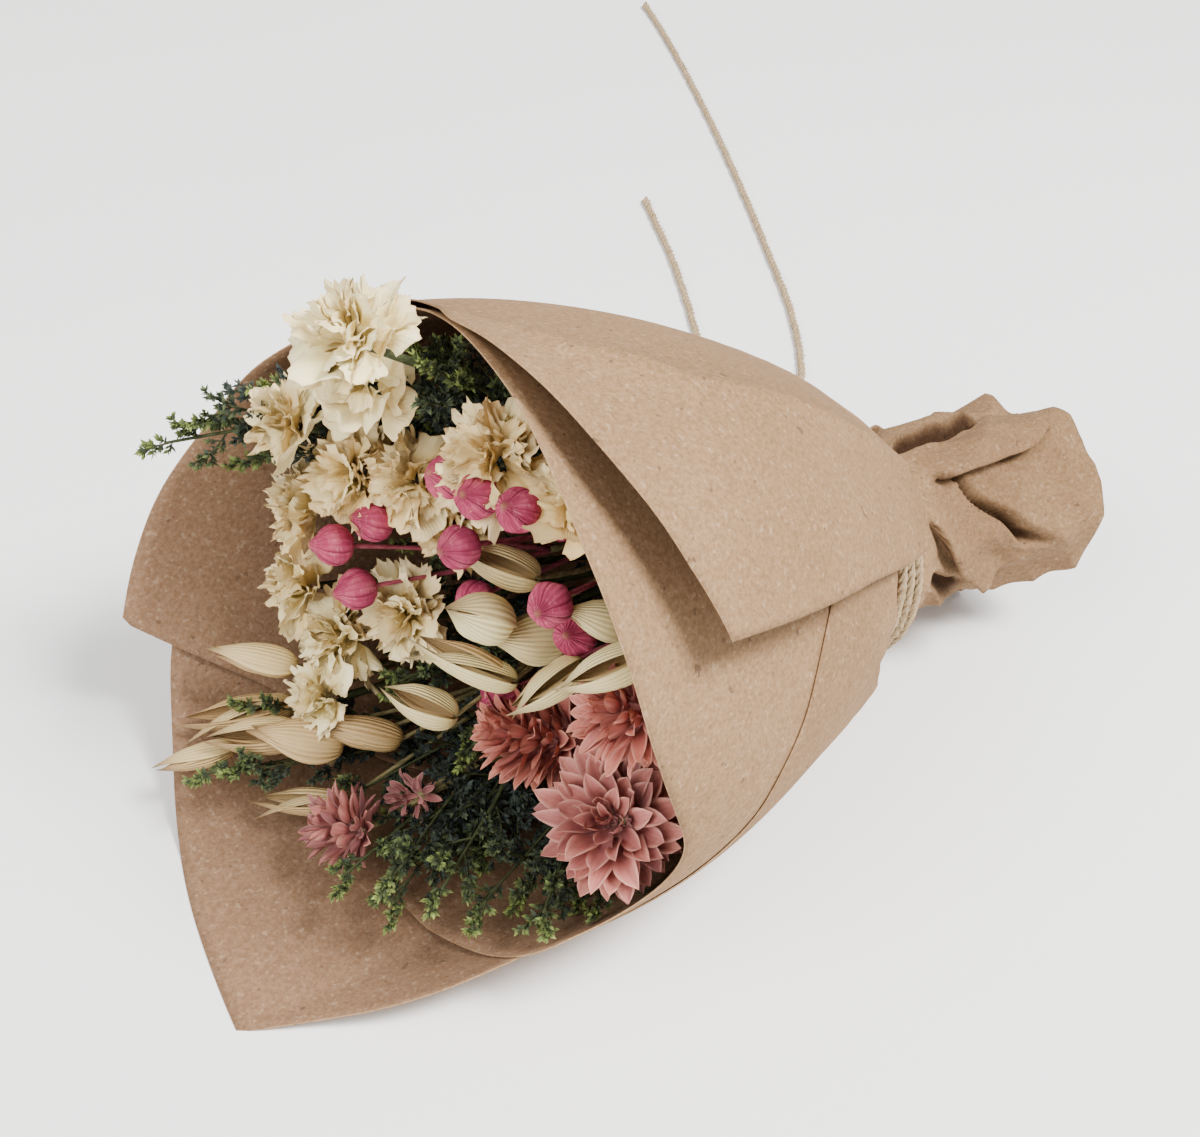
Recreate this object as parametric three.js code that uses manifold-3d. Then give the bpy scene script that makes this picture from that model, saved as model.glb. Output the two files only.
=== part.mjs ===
// A bouquet of dried flowers wrapped in two sheets of kraft paper, tied with twine and lying on its side.
// Millimetres, +Z up. The tied neck is near x = -60 and the flowers face +X. The table is z = 0.
// Inside, every place is given from the neck: t along the bouquet's axis, side towards +Y, up across it.
import * as THREE from "three";
import { mergeVertices } from "three/addons/utils/BufferGeometryUtils.js";
import Module from "manifold-3d";

const wasm = await Module();
wasm.setup();

// Driving dimensions
const PITCH = THREE.MathUtils.degToRad(12.2);   // how far the axis rises towards the flowers
const NECK_HEIGHT = 35;                         // neck centre above the table
const WRAP_NECK_RADIUS = 20;                    // paper radius at the neck, outside the pinch
const WRAP_MOUTH_RADIUS = 62.8;                 // paper radius at the mouth
const WRAP_LENGTH = 114.3;                      // from the neck to where the wrap runs straight
const PINCH_DEPTH = 2.6;                        // how far the twine pulls the inner sheet in
const PAPER = 0.7;                              // paper thickness as built
const LAYER_STEP = 1.9;                         // from one paper layer's middle to the next
const FRONT_FLAP_LIFT = 5.5;                    // the front flap stands this far off at its rim
const TWINE = 2.3;                              // twine diameter
const TWINE_TURNS = 3;
const STEM_RADIUS = 1.1;
const STEM_SIDES = 3;
const STALK_RADIUS = 0.5;                       // thin stalks of pods and husks
const BLADE = 0.65;                             // thickness of petals and leaflets as built
const SLIVER = 0.02;                            // corners closer than this become one where pieces are fused
const CLEARANCE = 0.35;                         // between any two pieces
const TO_ORIGIN = new THREE.Vector3(-57.948, 2.809, 0);   // puts the origin under the middle of the bouquet

// Frame of the wrap
const AXIS = new THREE.Vector3(Math.cos(PITCH), 0, Math.sin(PITCH));
const UP = new THREE.Vector3(-Math.sin(PITCH), 0, Math.cos(PITCH));
const SIDE = new THREE.Vector3(0, 1, 0);
const NECK = new THREE.Vector3(0, 0, NECK_HEIGHT);
const radians = THREE.MathUtils.degToRad;

function place(t, side, up) {
  return NECK.clone().addScaledVector(AXIS, t).addScaledVector(SIDE, side).addScaledVector(UP, up);
}

function direction(t, side, up) {
  return place(t, side, up).sub(NECK).normalize();
}

function local(point) {
  const offset = point.clone().sub(NECK);
  return { t: offset.dot(AXIS), side: offset.dot(SIDE), up: offset.dot(UP) };
}

function smooth(low, high, value) {
  return THREE.MathUtils.smoothstep(value, low, high);
}

// Reads a curve given as [x, y] pairs in rising x, with straight runs between them.
function read(pairs, x) {
  if (x <= pairs[0][0]) return pairs[0][1];
  for (let i = 1; i < pairs.length; i += 1) {
    const [x0, y0] = pairs[i - 1];
    const [x1, y1] = pairs[i];
    if (x <= x1) return y0 + ((x - x0) / (x1 - x0)) * (y1 - y0);
  }
  return pairs[pairs.length - 1][1];
}

// Seeded random numbers, so that every run gives the same bouquet.
let seed = 20611;
function random() {
  seed = (seed * 48271) % 2147483647;
  return seed / 2147483647;
}
function between(low, high) {
  return low + (high - low) * random();
}

// Paper wrap: radius of its middle surface, angle 0 at the top and 90 on the near side
function wrapRadius(t) {
  if (t >= WRAP_LENGTH) return WRAP_MOUTH_RADIUS + 0.2 * (t - WRAP_LENGTH);
  const u = Math.max(t, 0) / WRAP_LENGTH;
  return WRAP_NECK_RADIUS + (WRAP_MOUTH_RADIUS - WRAP_NECK_RADIUS) * (u + 0.9 * u * (1 - u));
}

// Beyond the twine the inner sheet opens again, mostly towards the near side, in soft pleats.
function flareRadius(t, angle) {
  const s = -t / 50;
  const near = Math.exp(-(((angle - 62) / 48) ** 2));
  const pleats = Math.sin(radians(7 * angle)) + 0.6 * Math.sin(radians(4 * angle + 50));
  return WRAP_NECK_RADIUS + 2.5 * s + 10 * near * s ** 1.5 + 1.7 * Math.min(s * 2, 1) * pleats;
}

// The twine holds the inner sheet in a short straight neck.
function innerRadius(t, angle) {
  const open = t < 0 ? flareRadius(t, angle) : wrapRadius(t);
  const away = t < 0 ? smooth(5, 20, -t) : smooth(5, 18, t);
  return THREE.MathUtils.lerp(WRAP_NECK_RADIUS - PINCH_DEPTH, open, away);
}

const INNER_RIM = [
  [-205, 60], [-150, 112], [-138, 121], [-125, 142], [-119, 152], [-110, 149], [-95, 143], [-87, 138],
  [-77, 133.6], [-65, 130.6], [-58, 126], [-45, 121], [-25, 121], [-8, 126], [-3, 134], [5, 135.5], [15, 135],
  [30, 132], [44, 130.6], [59, 124], [77, 114], [97, 101], [110, 102], [120, 109], [134, 117], [150, 122],
];
const INNER_TAIL = [
  [-205, -46], [-150, -48], [-90, -50], [-45, -54], [-10, -53], [30, -54], [50, -52], [65, -46], [84, -38],
  [105, -34], [120, -42], [150, -46],
];
const OUTER_RIM = [
  [-312, 60], [-302, 65.6], [-294, 70.5], [-280, 74], [-268, 79.7], [-259, 80], [-240, 99], [-223, 119.5],
  [-219, 128.6], [-213, 138.4], [-205, 148.5], [-196, 162.9], [-182, 159.3], [-170, 156], [-155, 151],
  [-141, 146], [-125, 142], [-100, 131], [-70, 122], [-40, 117], [-18, 118], [-9, 131], [-4, 124], [-1, 121],
  [19, 123.5], [31, 116], [45, 108.5], [58, 99],
];
const OUTER_TAIL = [
  [-312, 4], [-270, 3], [-180, 2], [-125, 4.5], [-112, 7], [-99, 7], [-85, 5], [-40, 5], [-20, 0],
  [0, -4], [30, -6], [60, -4], [80, -2],
];

function outerLift(t, angle) {
  const overStrip = LAYER_STEP * smooth(-30, 30, angle);
  const standing = FRONT_FLAP_LIFT * smooth(25, 95, t) * smooth(-12, 40, angle);
  return LAYER_STEP + overStrip + standing;
}

// One point of a sheet's middle surface. A layer is pressed flat where it meets the table or the layer below.
function sheetPoint(t, angle, radius, floor) {
  const point = place(t, radius * Math.sin(radians(angle)), radius * Math.cos(radians(angle)));
  point.z = Math.max(point.z, floor);
  return point;
}

// Closed solid from a grid of middle points, split alike on both faces.
function slab(grid, thickness) {
  const rows = grid.length;
  const columns = grid[0].length;
  const positions = [];
  const at = (i, j) => grid[Math.min(Math.max(i, 0), rows - 1)][Math.min(Math.max(j, 0), columns - 1)];
  for (const half of [thickness / 2, -thickness / 2]) {
    for (let i = 0; i < rows; i += 1) {
      for (let j = 0; j < columns; j += 1) {
        const along = at(i + 1, j).clone().sub(at(i - 1, j));
        const across = at(i, j + 1).clone().sub(at(i, j - 1));
        const normal = along.cross(across).normalize();
        positions.push(at(i, j).clone().addScaledVector(normal, half));
      }
    }
  }
  const front = (i, j) => i * columns + j;
  const back = (i, j) => rows * columns + i * columns + j;
  const triangles = [];
  for (let i = 0; i < rows - 1; i += 1) {
    for (let j = 0; j < columns - 1; j += 1) {
      triangles.push([front(i, j), front(i + 1, j), front(i + 1, j + 1)]);
      triangles.push([front(i, j), front(i + 1, j + 1), front(i, j + 1)]);
      triangles.push([back(i, j), back(i + 1, j + 1), back(i + 1, j)]);
      triangles.push([back(i, j), back(i, j + 1), back(i + 1, j + 1)]);
    }
  }
  const edge = [];
  for (let j = 0; j < columns - 1; j += 1) edge.push([0, j]);
  for (let i = 0; i < rows - 1; i += 1) edge.push([i, columns - 1]);
  for (let j = columns - 1; j > 0; j -= 1) edge.push([rows - 1, j]);
  for (let i = rows - 1; i > 0; i -= 1) edge.push([i, 0]);
  edge.forEach(([i, j], k) => {
    const [m, n] = edge[(k + 1) % edge.length];
    triangles.push([front(i, j), front(m, n), back(m, n)]);
    triangles.push([front(i, j), back(m, n), back(i, j)]);
  });
  return solidFrom(positions, triangles);
}

// Solids
function solidFrom(positions, triangles) {
  const vertProperties = new Float32Array(positions.length * 3);
  positions.forEach((point, i) => point.toArray(vertProperties, i * 3));
  const build = (list) => new wasm.Manifold(new wasm.Mesh({
    numProp: 3, vertProperties, triVerts: new Uint32Array(list.flat()),
  }));
  const solid = build(triangles);
  return solid.volume() > 0 ? solid : build(triangles.map(([a, b, c]) => [a, c, b]));
}

function solidOf(geometry) {
  const bare = geometry.clone();
  bare.deleteAttribute("normal");
  bare.deleteAttribute("uv");
  const merged = mergeVertices(bare, 1e-4);
  return new wasm.Manifold(new wasm.Mesh({
    numProp: 3,
    vertProperties: new Float32Array(merged.attributes.position.array),
    triVerts: new Uint32Array(merged.index.array),
  }));
}

function geometryOf(solid) {
  const mesh = solid.getMesh();
  const geometry = new THREE.BufferGeometry();
  geometry.setAttribute("position", new THREE.BufferAttribute(new Float32Array(mesh.vertProperties), 3));
  geometry.setIndex(new THREE.BufferAttribute(new Uint32Array(mesh.triVerts), 1));
  return geometry;
}

// Fuses a node's pieces and keeps the one body that holds together, judged on its 32-bit mesh.
function fuse(solids) {
  const joined = wasm.Manifold.union(solids).simplify(SLIVER);
  const parts = solidOf(geometryOf(joined)).decompose();
  return parts.reduce((best, part) => (part.volume() > best.volume() ? part : best));
}

// Room already taken, as small balls sorted into cells, so that nothing placed later crosses it
const CELL = 8;
const taken = new Map();
function cellKey(x, y, z) {
  return `${x},${y},${z}`;
}
function take(point, radius, owner) {
  const key = cellKey(Math.floor(point.x / CELL), Math.floor(point.y / CELL), Math.floor(point.z / CELL));
  if (!taken.has(key)) taken.set(key, []);
  taken.get(key).push({ point: point.clone(), radius, owner });
}
function room(point, radius, owner) {
  let least = 10;
  const [cx, cy, cz] = [point.x, point.y, point.z].map((value) => Math.floor(value / CELL));
  for (let x = cx - 1; x <= cx + 1; x += 1) {
    for (let y = cy - 1; y <= cy + 1; y += 1) {
      for (let z = cz - 1; z <= cz + 1; z += 1) {
        for (const ball of taken.get(cellKey(x, y, z)) ?? []) {
          const gap = ball.point.distanceTo(point) - ball.radius - radius;
          if (ball.owner !== owner) least = Math.min(least, gap);
        }
      }
    }
  }
  return Math.min(least, roomInWrap(point, radius));
}

// Room left between a ball and the paper around it. Past the rim there is no paper.
function roomInWrap(point, radius) {
  const { t, side, up } = local(point);
  const angle = THREE.MathUtils.radToDeg(Math.atan2(side, up));
  const rim = Math.max(read(INNER_RIM, angle), read(OUTER_RIM, angle > 60 ? angle - 360 : angle));
  const floorRoom = point.z - radius - (2 * LAYER_STEP + PAPER);
  if (t > rim + radius + 1) return t < 165 ? floorRoom : 10;
  const wall = (t < 12 ? innerRadius(t, angle) : wrapRadius(t) - 0.4) - PAPER / 2;
  return Math.min(wall - Math.hypot(side, up) - radius, floorRoom);
}

function fits(samples, radius, owner) {
  return samples.every((point) => room(point, radius, owner) > CLEARANCE);
}

function takeAll(samples, radius, owner) {
  samples.forEach((point) => take(point, radius, owner));
}

// Tapered stem along a smooth curve through the given points, with the same steps between each two of them
function stem(points, rootRadius, tipRadius, sides, owner, stepsEach) {
  const curve = new THREE.CatmullRomCurve3(points);
  const count = stepsEach * (points.length - 1);
  const positions = [];
  const triangles = [];
  const across = new THREE.Vector3(0.2, 0.1, 1).cross(curve.getTangent(0)).normalize();
  for (let i = 0; i <= count; i += 1) {
    const radius = THREE.MathUtils.lerp(rootRadius, tipRadius, i / count);
    const centre = curve.getPoint(i / count);
    const ahead = curve.getTangent(i / count);
    across.addScaledVector(ahead, -across.dot(ahead)).normalize();
    const upward = ahead.clone().cross(across);
    for (let j = 0; j < sides; j += 1) {
      const turn = (2 * Math.PI * j) / sides;
      positions.push(centre.clone()
        .addScaledVector(across, radius * Math.cos(turn))
        .addScaledVector(upward, radius * Math.sin(turn)));
      if (i < count) {
        const [a, b] = [i * sides + j, i * sides + ((j + 1) % sides)];
        triangles.push([a, b, b + sides], [a, b + sides, a + sides]);
      }
    }
  }
  const last = count * sides;
  for (let j = 1; j < sides - 1; j += 1) {
    triangles.push([0, j + 1, j], [last, last + j, last + j + 1]);
  }
  curve.getSpacedPoints(Math.ceil(curve.getLength() / 2)).forEach((point) => take(point, rootRadius, owner));
  return solidFrom(positions, triangles);
}

// Bends a stem clear of what is already there: a point before its end is moved aside until the way is free.
function clearWay(before, end, radius, owner) {
  const from = before[before.length - 1];
  let best = null;
  for (const reach of [0, 2, 4, 6, 9, 12, 16]) {
    for (let turn = 0; turn < 360; turn += 15) {
      const share = 0.35 + 0.15 * ((turn / 15) % 3);
      const bent = from.clone().lerp(end, share)
        .addScaledVector(SIDE, reach * Math.cos(radians(turn)))
        .addScaledVector(UP, reach * Math.sin(radians(turn)));
      const samples = new THREE.CatmullRomCurve3([...before, bent, end]).getSpacedPoints(40);
      const least = Math.min(...samples.map((point) => room(point, radius, owner)));
      if (!best || least > best.least) best = { least, bent };
      if (best.least > CLEARANCE) return best.bent;
    }
  }
  return best.bent;
}

// Pointed blade, thickest at its middle. bow arches it outwards.
function bladePoints(root, along, across, length, width, bow) {
  const normal = along.clone().cross(across).normalize();
  const belly = root.clone().addScaledVector(along, length * 0.62).addScaledVector(normal, bow);
  return {
    normal,
    tip: root.clone().addScaledVector(along, length).addScaledVector(normal, bow * 0.3),
    left: belly.clone().addScaledVector(across, width / 2).addScaledVector(normal, width * 0.12),
    right: belly.clone().addScaledVector(across, -width / 2).addScaledVector(normal, width * 0.12),
    belly,
  };
}

function blade(root, along, across, length, width, bow, thickness = BLADE) {
  const { normal, tip, left, right, belly } = bladePoints(root, along, across, length, width, bow);
  const down = normal.clone().multiplyScalar(-thickness);
  const low = [left, belly, right].map((point) => point.clone().add(down));
  const positions = [root, tip, left, belly, right, ...low];
  const [r, p, l, b, g, ll, lb, lg] = [0, 1, 2, 3, 4, 5, 6, 7];
  return solidFrom(positions, [
    [r, b, l], [r, g, b], [l, b, p], [b, g, p],
    [r, ll, lb], [r, lb, lg], [ll, p, lb], [lb, p, lg],
    [r, l, ll], [l, p, ll], [r, lg, g], [g, lg, p],
  ]);
}

// Flower head raised from its core: the core is a grid of rings, and each of its faces grows one petal.
// core(share) gives [along the axis, radius] from the front, 0, to the back, 1. Every ring is turned by half
// a petal against the one before, so the layers are staggered. grow(face) returns a petal's points, or null
// where the space is taken and the face stays as it is.
function flowerHead(centre, axis, core, columns, rings, grow) {
  const across = new THREE.Vector3(0, 0, 1).cross(axis).normalize();
  const upward = axis.clone().cross(across).normalize();
  const positions = [];
  const triangles = [];
  const corner = (point) => positions.push(point) - 1;
  const onCore = (share, turn) => {
    const [along, radius] = core(share);
    return centre.clone().addScaledVector(axis, along)
      .addScaledVector(across, radius * Math.cos(turn)).addScaledVector(upward, radius * Math.sin(turn));
  };
  const turnAt = (i, j) => (2 * Math.PI * (j - 0.5 * i)) / columns;
  const front = corner(centre.clone().addScaledVector(axis, core(0)[0]));
  const grid = [];
  for (let i = 0; i <= rings; i += 1) {
    const share = 0.1 + 0.8 * (i / rings);
    grid.push([...Array(columns).keys()].map((j) => corner(onCore(share, turnAt(i, j)))));
  }
  const back = corner(centre.clone().addScaledVector(axis, core(1)[0]));
  for (let j = 0; j < columns; j += 1) {
    const next = (j + 1) % columns;
    triangles.push([front, grid[0][j], grid[0][next]], [back, grid[rings][next], grid[rings][j]]);
    for (let i = 0; i < rings; i += 1) {
      const [a, b, c, d] = [grid[i][j], grid[i][next], grid[i + 1][next], grid[i + 1][j]];
      const middle = turnAt(i + 0.5, j + 0.5);
      const outward = across.clone().multiplyScalar(Math.cos(middle))
        .addScaledVector(upward, Math.sin(middle));
      const sideways = axis.clone().cross(outward).normalize();
      const foot = positions[a].clone().lerp(positions[c], 0.5)
        .lerp(positions[b].clone().lerp(positions[d], 0.5), 0.5);
      const petal = grow({ ring: i, foot, outward, sideways });
      if (!petal) {
        triangles.push([a, d, c], [a, c, b]);
      } else if (petal.edge) {
        const r = petal.edge.map(([top]) => corner(top));
        const q = petal.edge.map(([, low]) => corner(low));
        const [n, m] = [r.length - 1, Math.floor(r.length / 2)];
        triangles.push([a, d, q[0]], [a, q[0], r[0]], [c, b, r[n]], [c, r[n], q[n]]);
        triangles.push([d, c, q[m]], [b, a, r[m]]);
        for (let k = 0; k < n; k += 1) {
          triangles.push([k < m ? a : b, r[k], r[k + 1]], [k < m ? d : c, q[k + 1], q[k]]);
          triangles.push([r[k + 1], r[k], q[k]], [r[k + 1], q[k], q[k + 1]]);
        }
      } else {
        const [ma, mb, mc, md] = petal.middle.map(corner);
        const tip = corner(petal.tip);
        triangles.push([a, d, md], [a, md, ma], [d, c, mc], [d, mc, md]);
        triangles.push([c, b, mb], [c, mb, mc], [b, a, ma], [b, ma, mb]);
        triangles.push([ma, md, tip], [md, mc, tip], [mc, mb, tip], [mb, ma, tip]);
      }
    }
  }
  return solidFrom(positions, triangles);
}

function eggCore(half, radius) {
  return (share) => [half * Math.cos(Math.PI * share), radius * Math.sin(Math.PI * share)];
}

// Round or drawn-out closed shape by turned rings. radii is a list of [along, radius], and ribs pinches
// every other side.
function turned(centre, axis, radii, sides, ribs = 0) {
  const across = new THREE.Vector3(0.3, 0.2, 1).cross(axis).normalize();
  const upward = axis.clone().cross(across).normalize();
  const positions = [];
  const triangles = [];
  const first = radii[0];
  const last = radii[radii.length - 1];
  positions.push(centre.clone().addScaledVector(axis, first[0]));
  radii.slice(1, -1).forEach(([along, radius]) => {
    for (let j = 0; j < sides; j += 1) {
      const turn = (2 * Math.PI * j) / sides;
      const reach = radius * (j % 2 === 0 ? 1 : 1 - ribs);
      positions.push(centre.clone().addScaledVector(axis, along)
        .addScaledVector(across, reach * Math.cos(turn)).addScaledVector(upward, reach * Math.sin(turn)));
    }
  });
  positions.push(centre.clone().addScaledVector(axis, last[0]));
  const rings = radii.length - 2;
  const end = positions.length - 1;
  for (let j = 0; j < sides; j += 1) {
    const next = (j + 1) % sides;
    triangles.push([0, 1 + next, 1 + j]);
    for (let i = 0; i < rings - 1; i += 1) {
      const [a, b] = [1 + i * sides + j, 1 + i * sides + next];
      triangles.push([a, b, b + sides], [a, b + sides, a + sides]);
    }
    const ring = 1 + (rings - 1) * sides;
    triangles.push([end, ring + j, ring + next]);
  }
  return solidFrom(positions, triangles);
}

// A turned shape's rings for an egg of the given half length and radius
function eggRings(half, radius, rings, point = 0) {
  const list = [];
  for (let i = 0; i <= rings; i += 1) {
    const turn = Math.PI * (i / rings);
    list.push([-half * Math.cos(turn), radius * Math.sin(turn) ** (1 + point * (i / rings))]);
  }
  return list;
}

// Main stems: each runs from inside the flare, through the tied neck, to its fork or head.
// The lanes in the neck lie in two rings, so that the stems pack side by side without crossing.
const LANES = 20;
const OUTER_LANE_RADIUS = 15.6;
const INNER_LANE_RADIUS = 12.9;
const usedLanes = new Set();

function nearestLane(side, up, radius) {
  const wanted = Math.atan2(side, up);
  const lanes = [];
  for (const ring of [OUTER_LANE_RADIUS, INNER_LANE_RADIUS]) {
    for (let lane = 0; lane < LANES; lane += 1) {
      const turn = (2 * Math.PI * (lane + 0.5)) / LANES;
      const away = Math.abs(Math.atan2(Math.sin(turn - wanted), Math.cos(turn - wanted)));
      const key = `${ring} ${lane}`;
      if (!usedLanes.has(key)) lanes.push({ key, ring, turn, cost: away * 10 + Math.abs(ring - radius) });
    }
  }
  lanes.sort((a, b) => a.cost - b.cost);
  usedLanes.add(lanes[0].key);
  return lanes[0];
}

function mainStem(end, owner, tipRadius, beyond = []) {
  const target = local(end);
  const wanted = Math.hypot(target.side, target.up) < 26 ? INNER_LANE_RADIUS : OUTER_LANE_RADIUS;
  const lane = nearestLane(target.side, target.up, wanted);
  const [side, up] = [lane.ring * Math.sin(lane.turn), lane.ring * Math.cos(lane.turn)];
  const cut = place(between(-44, -36), side, up);
  const tied = [place(-8, side, up), place(8, side, up)];
  const bend = clearWay([cut, ...tied], end, STEM_RADIUS, owner);
  const points = [cut, ...tied, bend, end, ...beyond];
  return { points, solid: stem(points, STEM_RADIUS, tipRadius, STEM_SIDES, owner, 2) };
}

function sideStem(from, to, owner, rootRadius, tipRadius) {
  const bend = clearWay([from], to, rootRadius, owner);
  return stem([from, bend, to], rootRadius, tipRadius, STEM_SIDES, owner, 2);
}

// Coral flowers: layered pointed petals round an egg-shaped core, smaller towards the middle
const CORAL = [
  { at: [99, 18.4, -19], facing: [0.91, -0.36, 0.2], core: [9, 3.2], rings: 4, columns: 8, reach: 7 },
  { at: [108, 42.5, 10], facing: [0.9, -0.25, 0.1], core: [5.5, 3.6], rings: 4, columns: 7, reach: 7.5 },
  { at: [101, 42.5, -17.6], facing: [0.74, 0.25, 0.62], core: [5, 4.2], rings: 4, columns: 10, reach: 10.5 },
  { at: [130, -1, -48.2], facing: [0.8, -0.55, 0.1], core: [4.5, 3], rings: 3, columns: 7, reach: 6.8 },
  { at: [116, 0.8, -43], facing: [0.9, 0.1, 0.3], core: [3, 2.4], rings: 2, columns: 6, reach: 3.8 },
];

function coralFlower(form, owner) {
  const centre = place(...form.at);
  const axis = direction(...form.facing);
  const [half, radius] = form.core;
  const solid = flowerHead(centre, axis, eggCore(half, radius), form.columns, form.rings, (face) => {
    const share = (face.ring + 0.5) / form.rings;
    const tilt = 0.3 + 1.35 * share;
    const along = axis.clone().multiplyScalar(Math.cos(tilt)).addScaledVector(face.outward, Math.sin(tilt));
    const normal = along.clone().cross(face.sideways).normalize();
    const grown = 0.62 + 0.38 * Math.sin(Math.PI * Math.min(share, 0.6) / 1.2);
    const length = form.reach * grown * between(0.92, 1.06);
    const belly = face.foot.clone().addScaledVector(along, length * 0.6);
    const spare = belly.clone().sub(centre).projectOnPlane(axis).length() * Math.tan(Math.PI / form.columns);
    const breadth = Math.min(length * 0.19, spare * 0.75);
    const corner = (aside, raise) => belly.clone()
      .addScaledVector(face.sideways, aside * breadth)
      .addScaledVector(normal, raise * BLADE * 0.5);
    const middle = [corner(-1, 1), corner(1, 1), corner(1, -1), corner(-1, -1)];
    const tip = face.foot.clone().addScaledVector(along, length);
    const spots = [...middle, tip, belly];
    if (!fits(spots, 0.3, owner)) return null;
    takeAll(spots, 0.7, owner);
    return { middle, tip };
  });
  return { solids: [solid], back: centre.clone().addScaledVector(axis, -half * 0.8) };
}

// Cream ruffled flowers: fan-shaped petals with toothed, waved edges, in layers
const CREAM = [
  { at: [139, -18, 60], facing: [0.6, -0.2, 0.75], reach: 12.5, columns: 6, rings: 2 },
  { at: [130, -22.8, 40.9], facing: [0.8, 0.1, 0.6], reach: 11, columns: 5, rings: 2 },
  { at: [132, -45.5, 25], facing: [0.75, -0.5, 0.4], reach: 9, columns: 5, rings: 2 },
  { at: [124, -33, 19], facing: [0.9, 0, 0.4], reach: 10, columns: 5, rings: 2 },
  { at: [121, -18, 26], facing: [0.9, 0.2, 0.4], reach: 9.5, columns: 4, rings: 2 },
  { at: [124, -46.5, 1.5], facing: [0.8, -0.5, 0.2], reach: 9.5, columns: 5, rings: 2 },
  { at: [124, -43, -16], facing: [0.8, -0.5, 0.1], reach: 9.5, columns: 5, rings: 2 },
  { at: [122, -28, -21], facing: [0.9, 0.1, 0], reach: 9.5, columns: 4, rings: 2 },
  { at: [126, -25, -34], facing: [0.85, -0.3, -0.1], reach: 9.5, columns: 4, rings: 2 },
  { at: [114, -18.5, -9.5], facing: [0.9, 0.2, 0.1], reach: 10.5, columns: 5, rings: 2 },
  { at: [122, 4.6, 46.8], facing: [0.75, 0.1, 0.65], reach: 12, columns: 6, rings: 2 },
  { at: [111, -13.5, 17], facing: [0.9, 0.1, 0.3], reach: 9, columns: 4, rings: 2 },
  { at: [116, 22, 47], facing: [0.8, 0.1, 0.6], reach: 8.5, columns: 4, rings: 2 },
];
const CUP_ALONG = [[0, 1.6], [0.1, 1.4], [0.5, 0.3], [0.9, -2.4], [1, -2.8]];
const CUP_RADIUS = [[0, 0], [0.1, 0.8], [0.5, 2.4], [0.9, 2.2], [1, 0]];
const FAN_TEETH = 4;
const FAN_FILL = 0.82;         // share of its sector that a petal fills
const FAN_TWIST = -0.2;         // petals overlap like a pinwheel

function creamFlower(form, owner) {
  const centre = place(...form.at);
  const axis = direction(...form.facing);
  const cup = centre.clone().addScaledVector(axis, -form.reach * 0.35);
  const core = (share) => [read(CUP_ALONG, share), read(CUP_RADIUS, share)];
  const solid = flowerHead(cup, axis, core, form.columns, form.rings, (face) => {
    const tilt = 0.6 + 0.72 * (face.ring / (form.rings - 1));
    const along = axis.clone().multiplyScalar(Math.cos(tilt)).addScaledVector(face.outward, Math.sin(tilt));
    const sideways = face.sideways.clone().applyAxisAngle(along, FAN_TWIST);
    const normal = along.clone().cross(sideways).normalize();
    const share = Math.sin(tilt) * Math.tan(Math.PI / form.columns);
    const spread = Math.min(0.8, FAN_FILL * Math.asin(Math.min(share, 1)));
    const waves = [...Array(FAN_TEETH + 1).keys()].map(() => [between(0.9, 1.06), between(0.7, 1.1)]);
    for (const shrink of [1, 0.85, 0.7]) {
      const edge = waves.map(([stretch, wave], k) => {
        const turn = spread * ((2 * k) / FAN_TEETH - 1);
        const reach = form.reach * shrink * stretch * (k % 2 === 0 ? 0.94 : 1.04);
        const top = face.foot.clone()
          .addScaledVector(along, reach * Math.cos(turn))
          .addScaledVector(sideways, reach * Math.sin(turn))
          .addScaledVector(normal, shrink * wave * (k % 2 === 0 ? 1 : -1));
        return [top, top.clone().addScaledVector(normal, -BLADE)];
      });
      const spots = edge.flatMap(([top], k) => {
        const halfway = top.clone().lerp(edge[Math.min(k + 1, FAN_TEETH)][0], 0.5);
        const onPetal = (point, share) => face.foot.clone().lerp(point, share);
        return [top, onPetal(top, 0.7), onPetal(top, 0.4), onPetal(halfway, 0.9), onPetal(halfway, 0.6)];
      });
      if (fits(spots, 0.5, owner)) {
        takeAll(spots, 0.8, owner);
        return { edge };
      }
    }
    return null;
  });
  return { solids: [solid], back: cup.clone().addScaledVector(axis, -2) };
}

// Pink flax pods: ribbed globes on thin stalks, several to a spray
const POD_RADIUS = 4.2;
const FLAX = [
  { fork: [84, -2, 20], pods: [[125, -1.3, 37.9], [125, 7.7, 39.7], [122, 3, 24.5]] },
  { fork: [82, 9, 21], pods: [[122, 15.8, 41.7], [107, 12, 34], [118, 25.7, 27]] },
  { fork: [82, -14, 3], pods: [[122, -23.2, 12.4], [127, -27.6, 4.5], [124, -21.2, -2.6], [107, -5.3, 2.2]] },
  { fork: [76, 10, -2], pods: [[106, 22.5, 14.4], [103, 4.7, -15.7]] },
];

function flaxPod(centre, axis, owner) {
  take(centre, POD_RADIUS, owner);
  const rings = eggRings(POD_RADIUS, POD_RADIUS, 4);
  rings[rings.length - 1][0] = POD_RADIUS * 1.22;
  return turned(centre, axis, rings, 8, 0.07);
}

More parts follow.
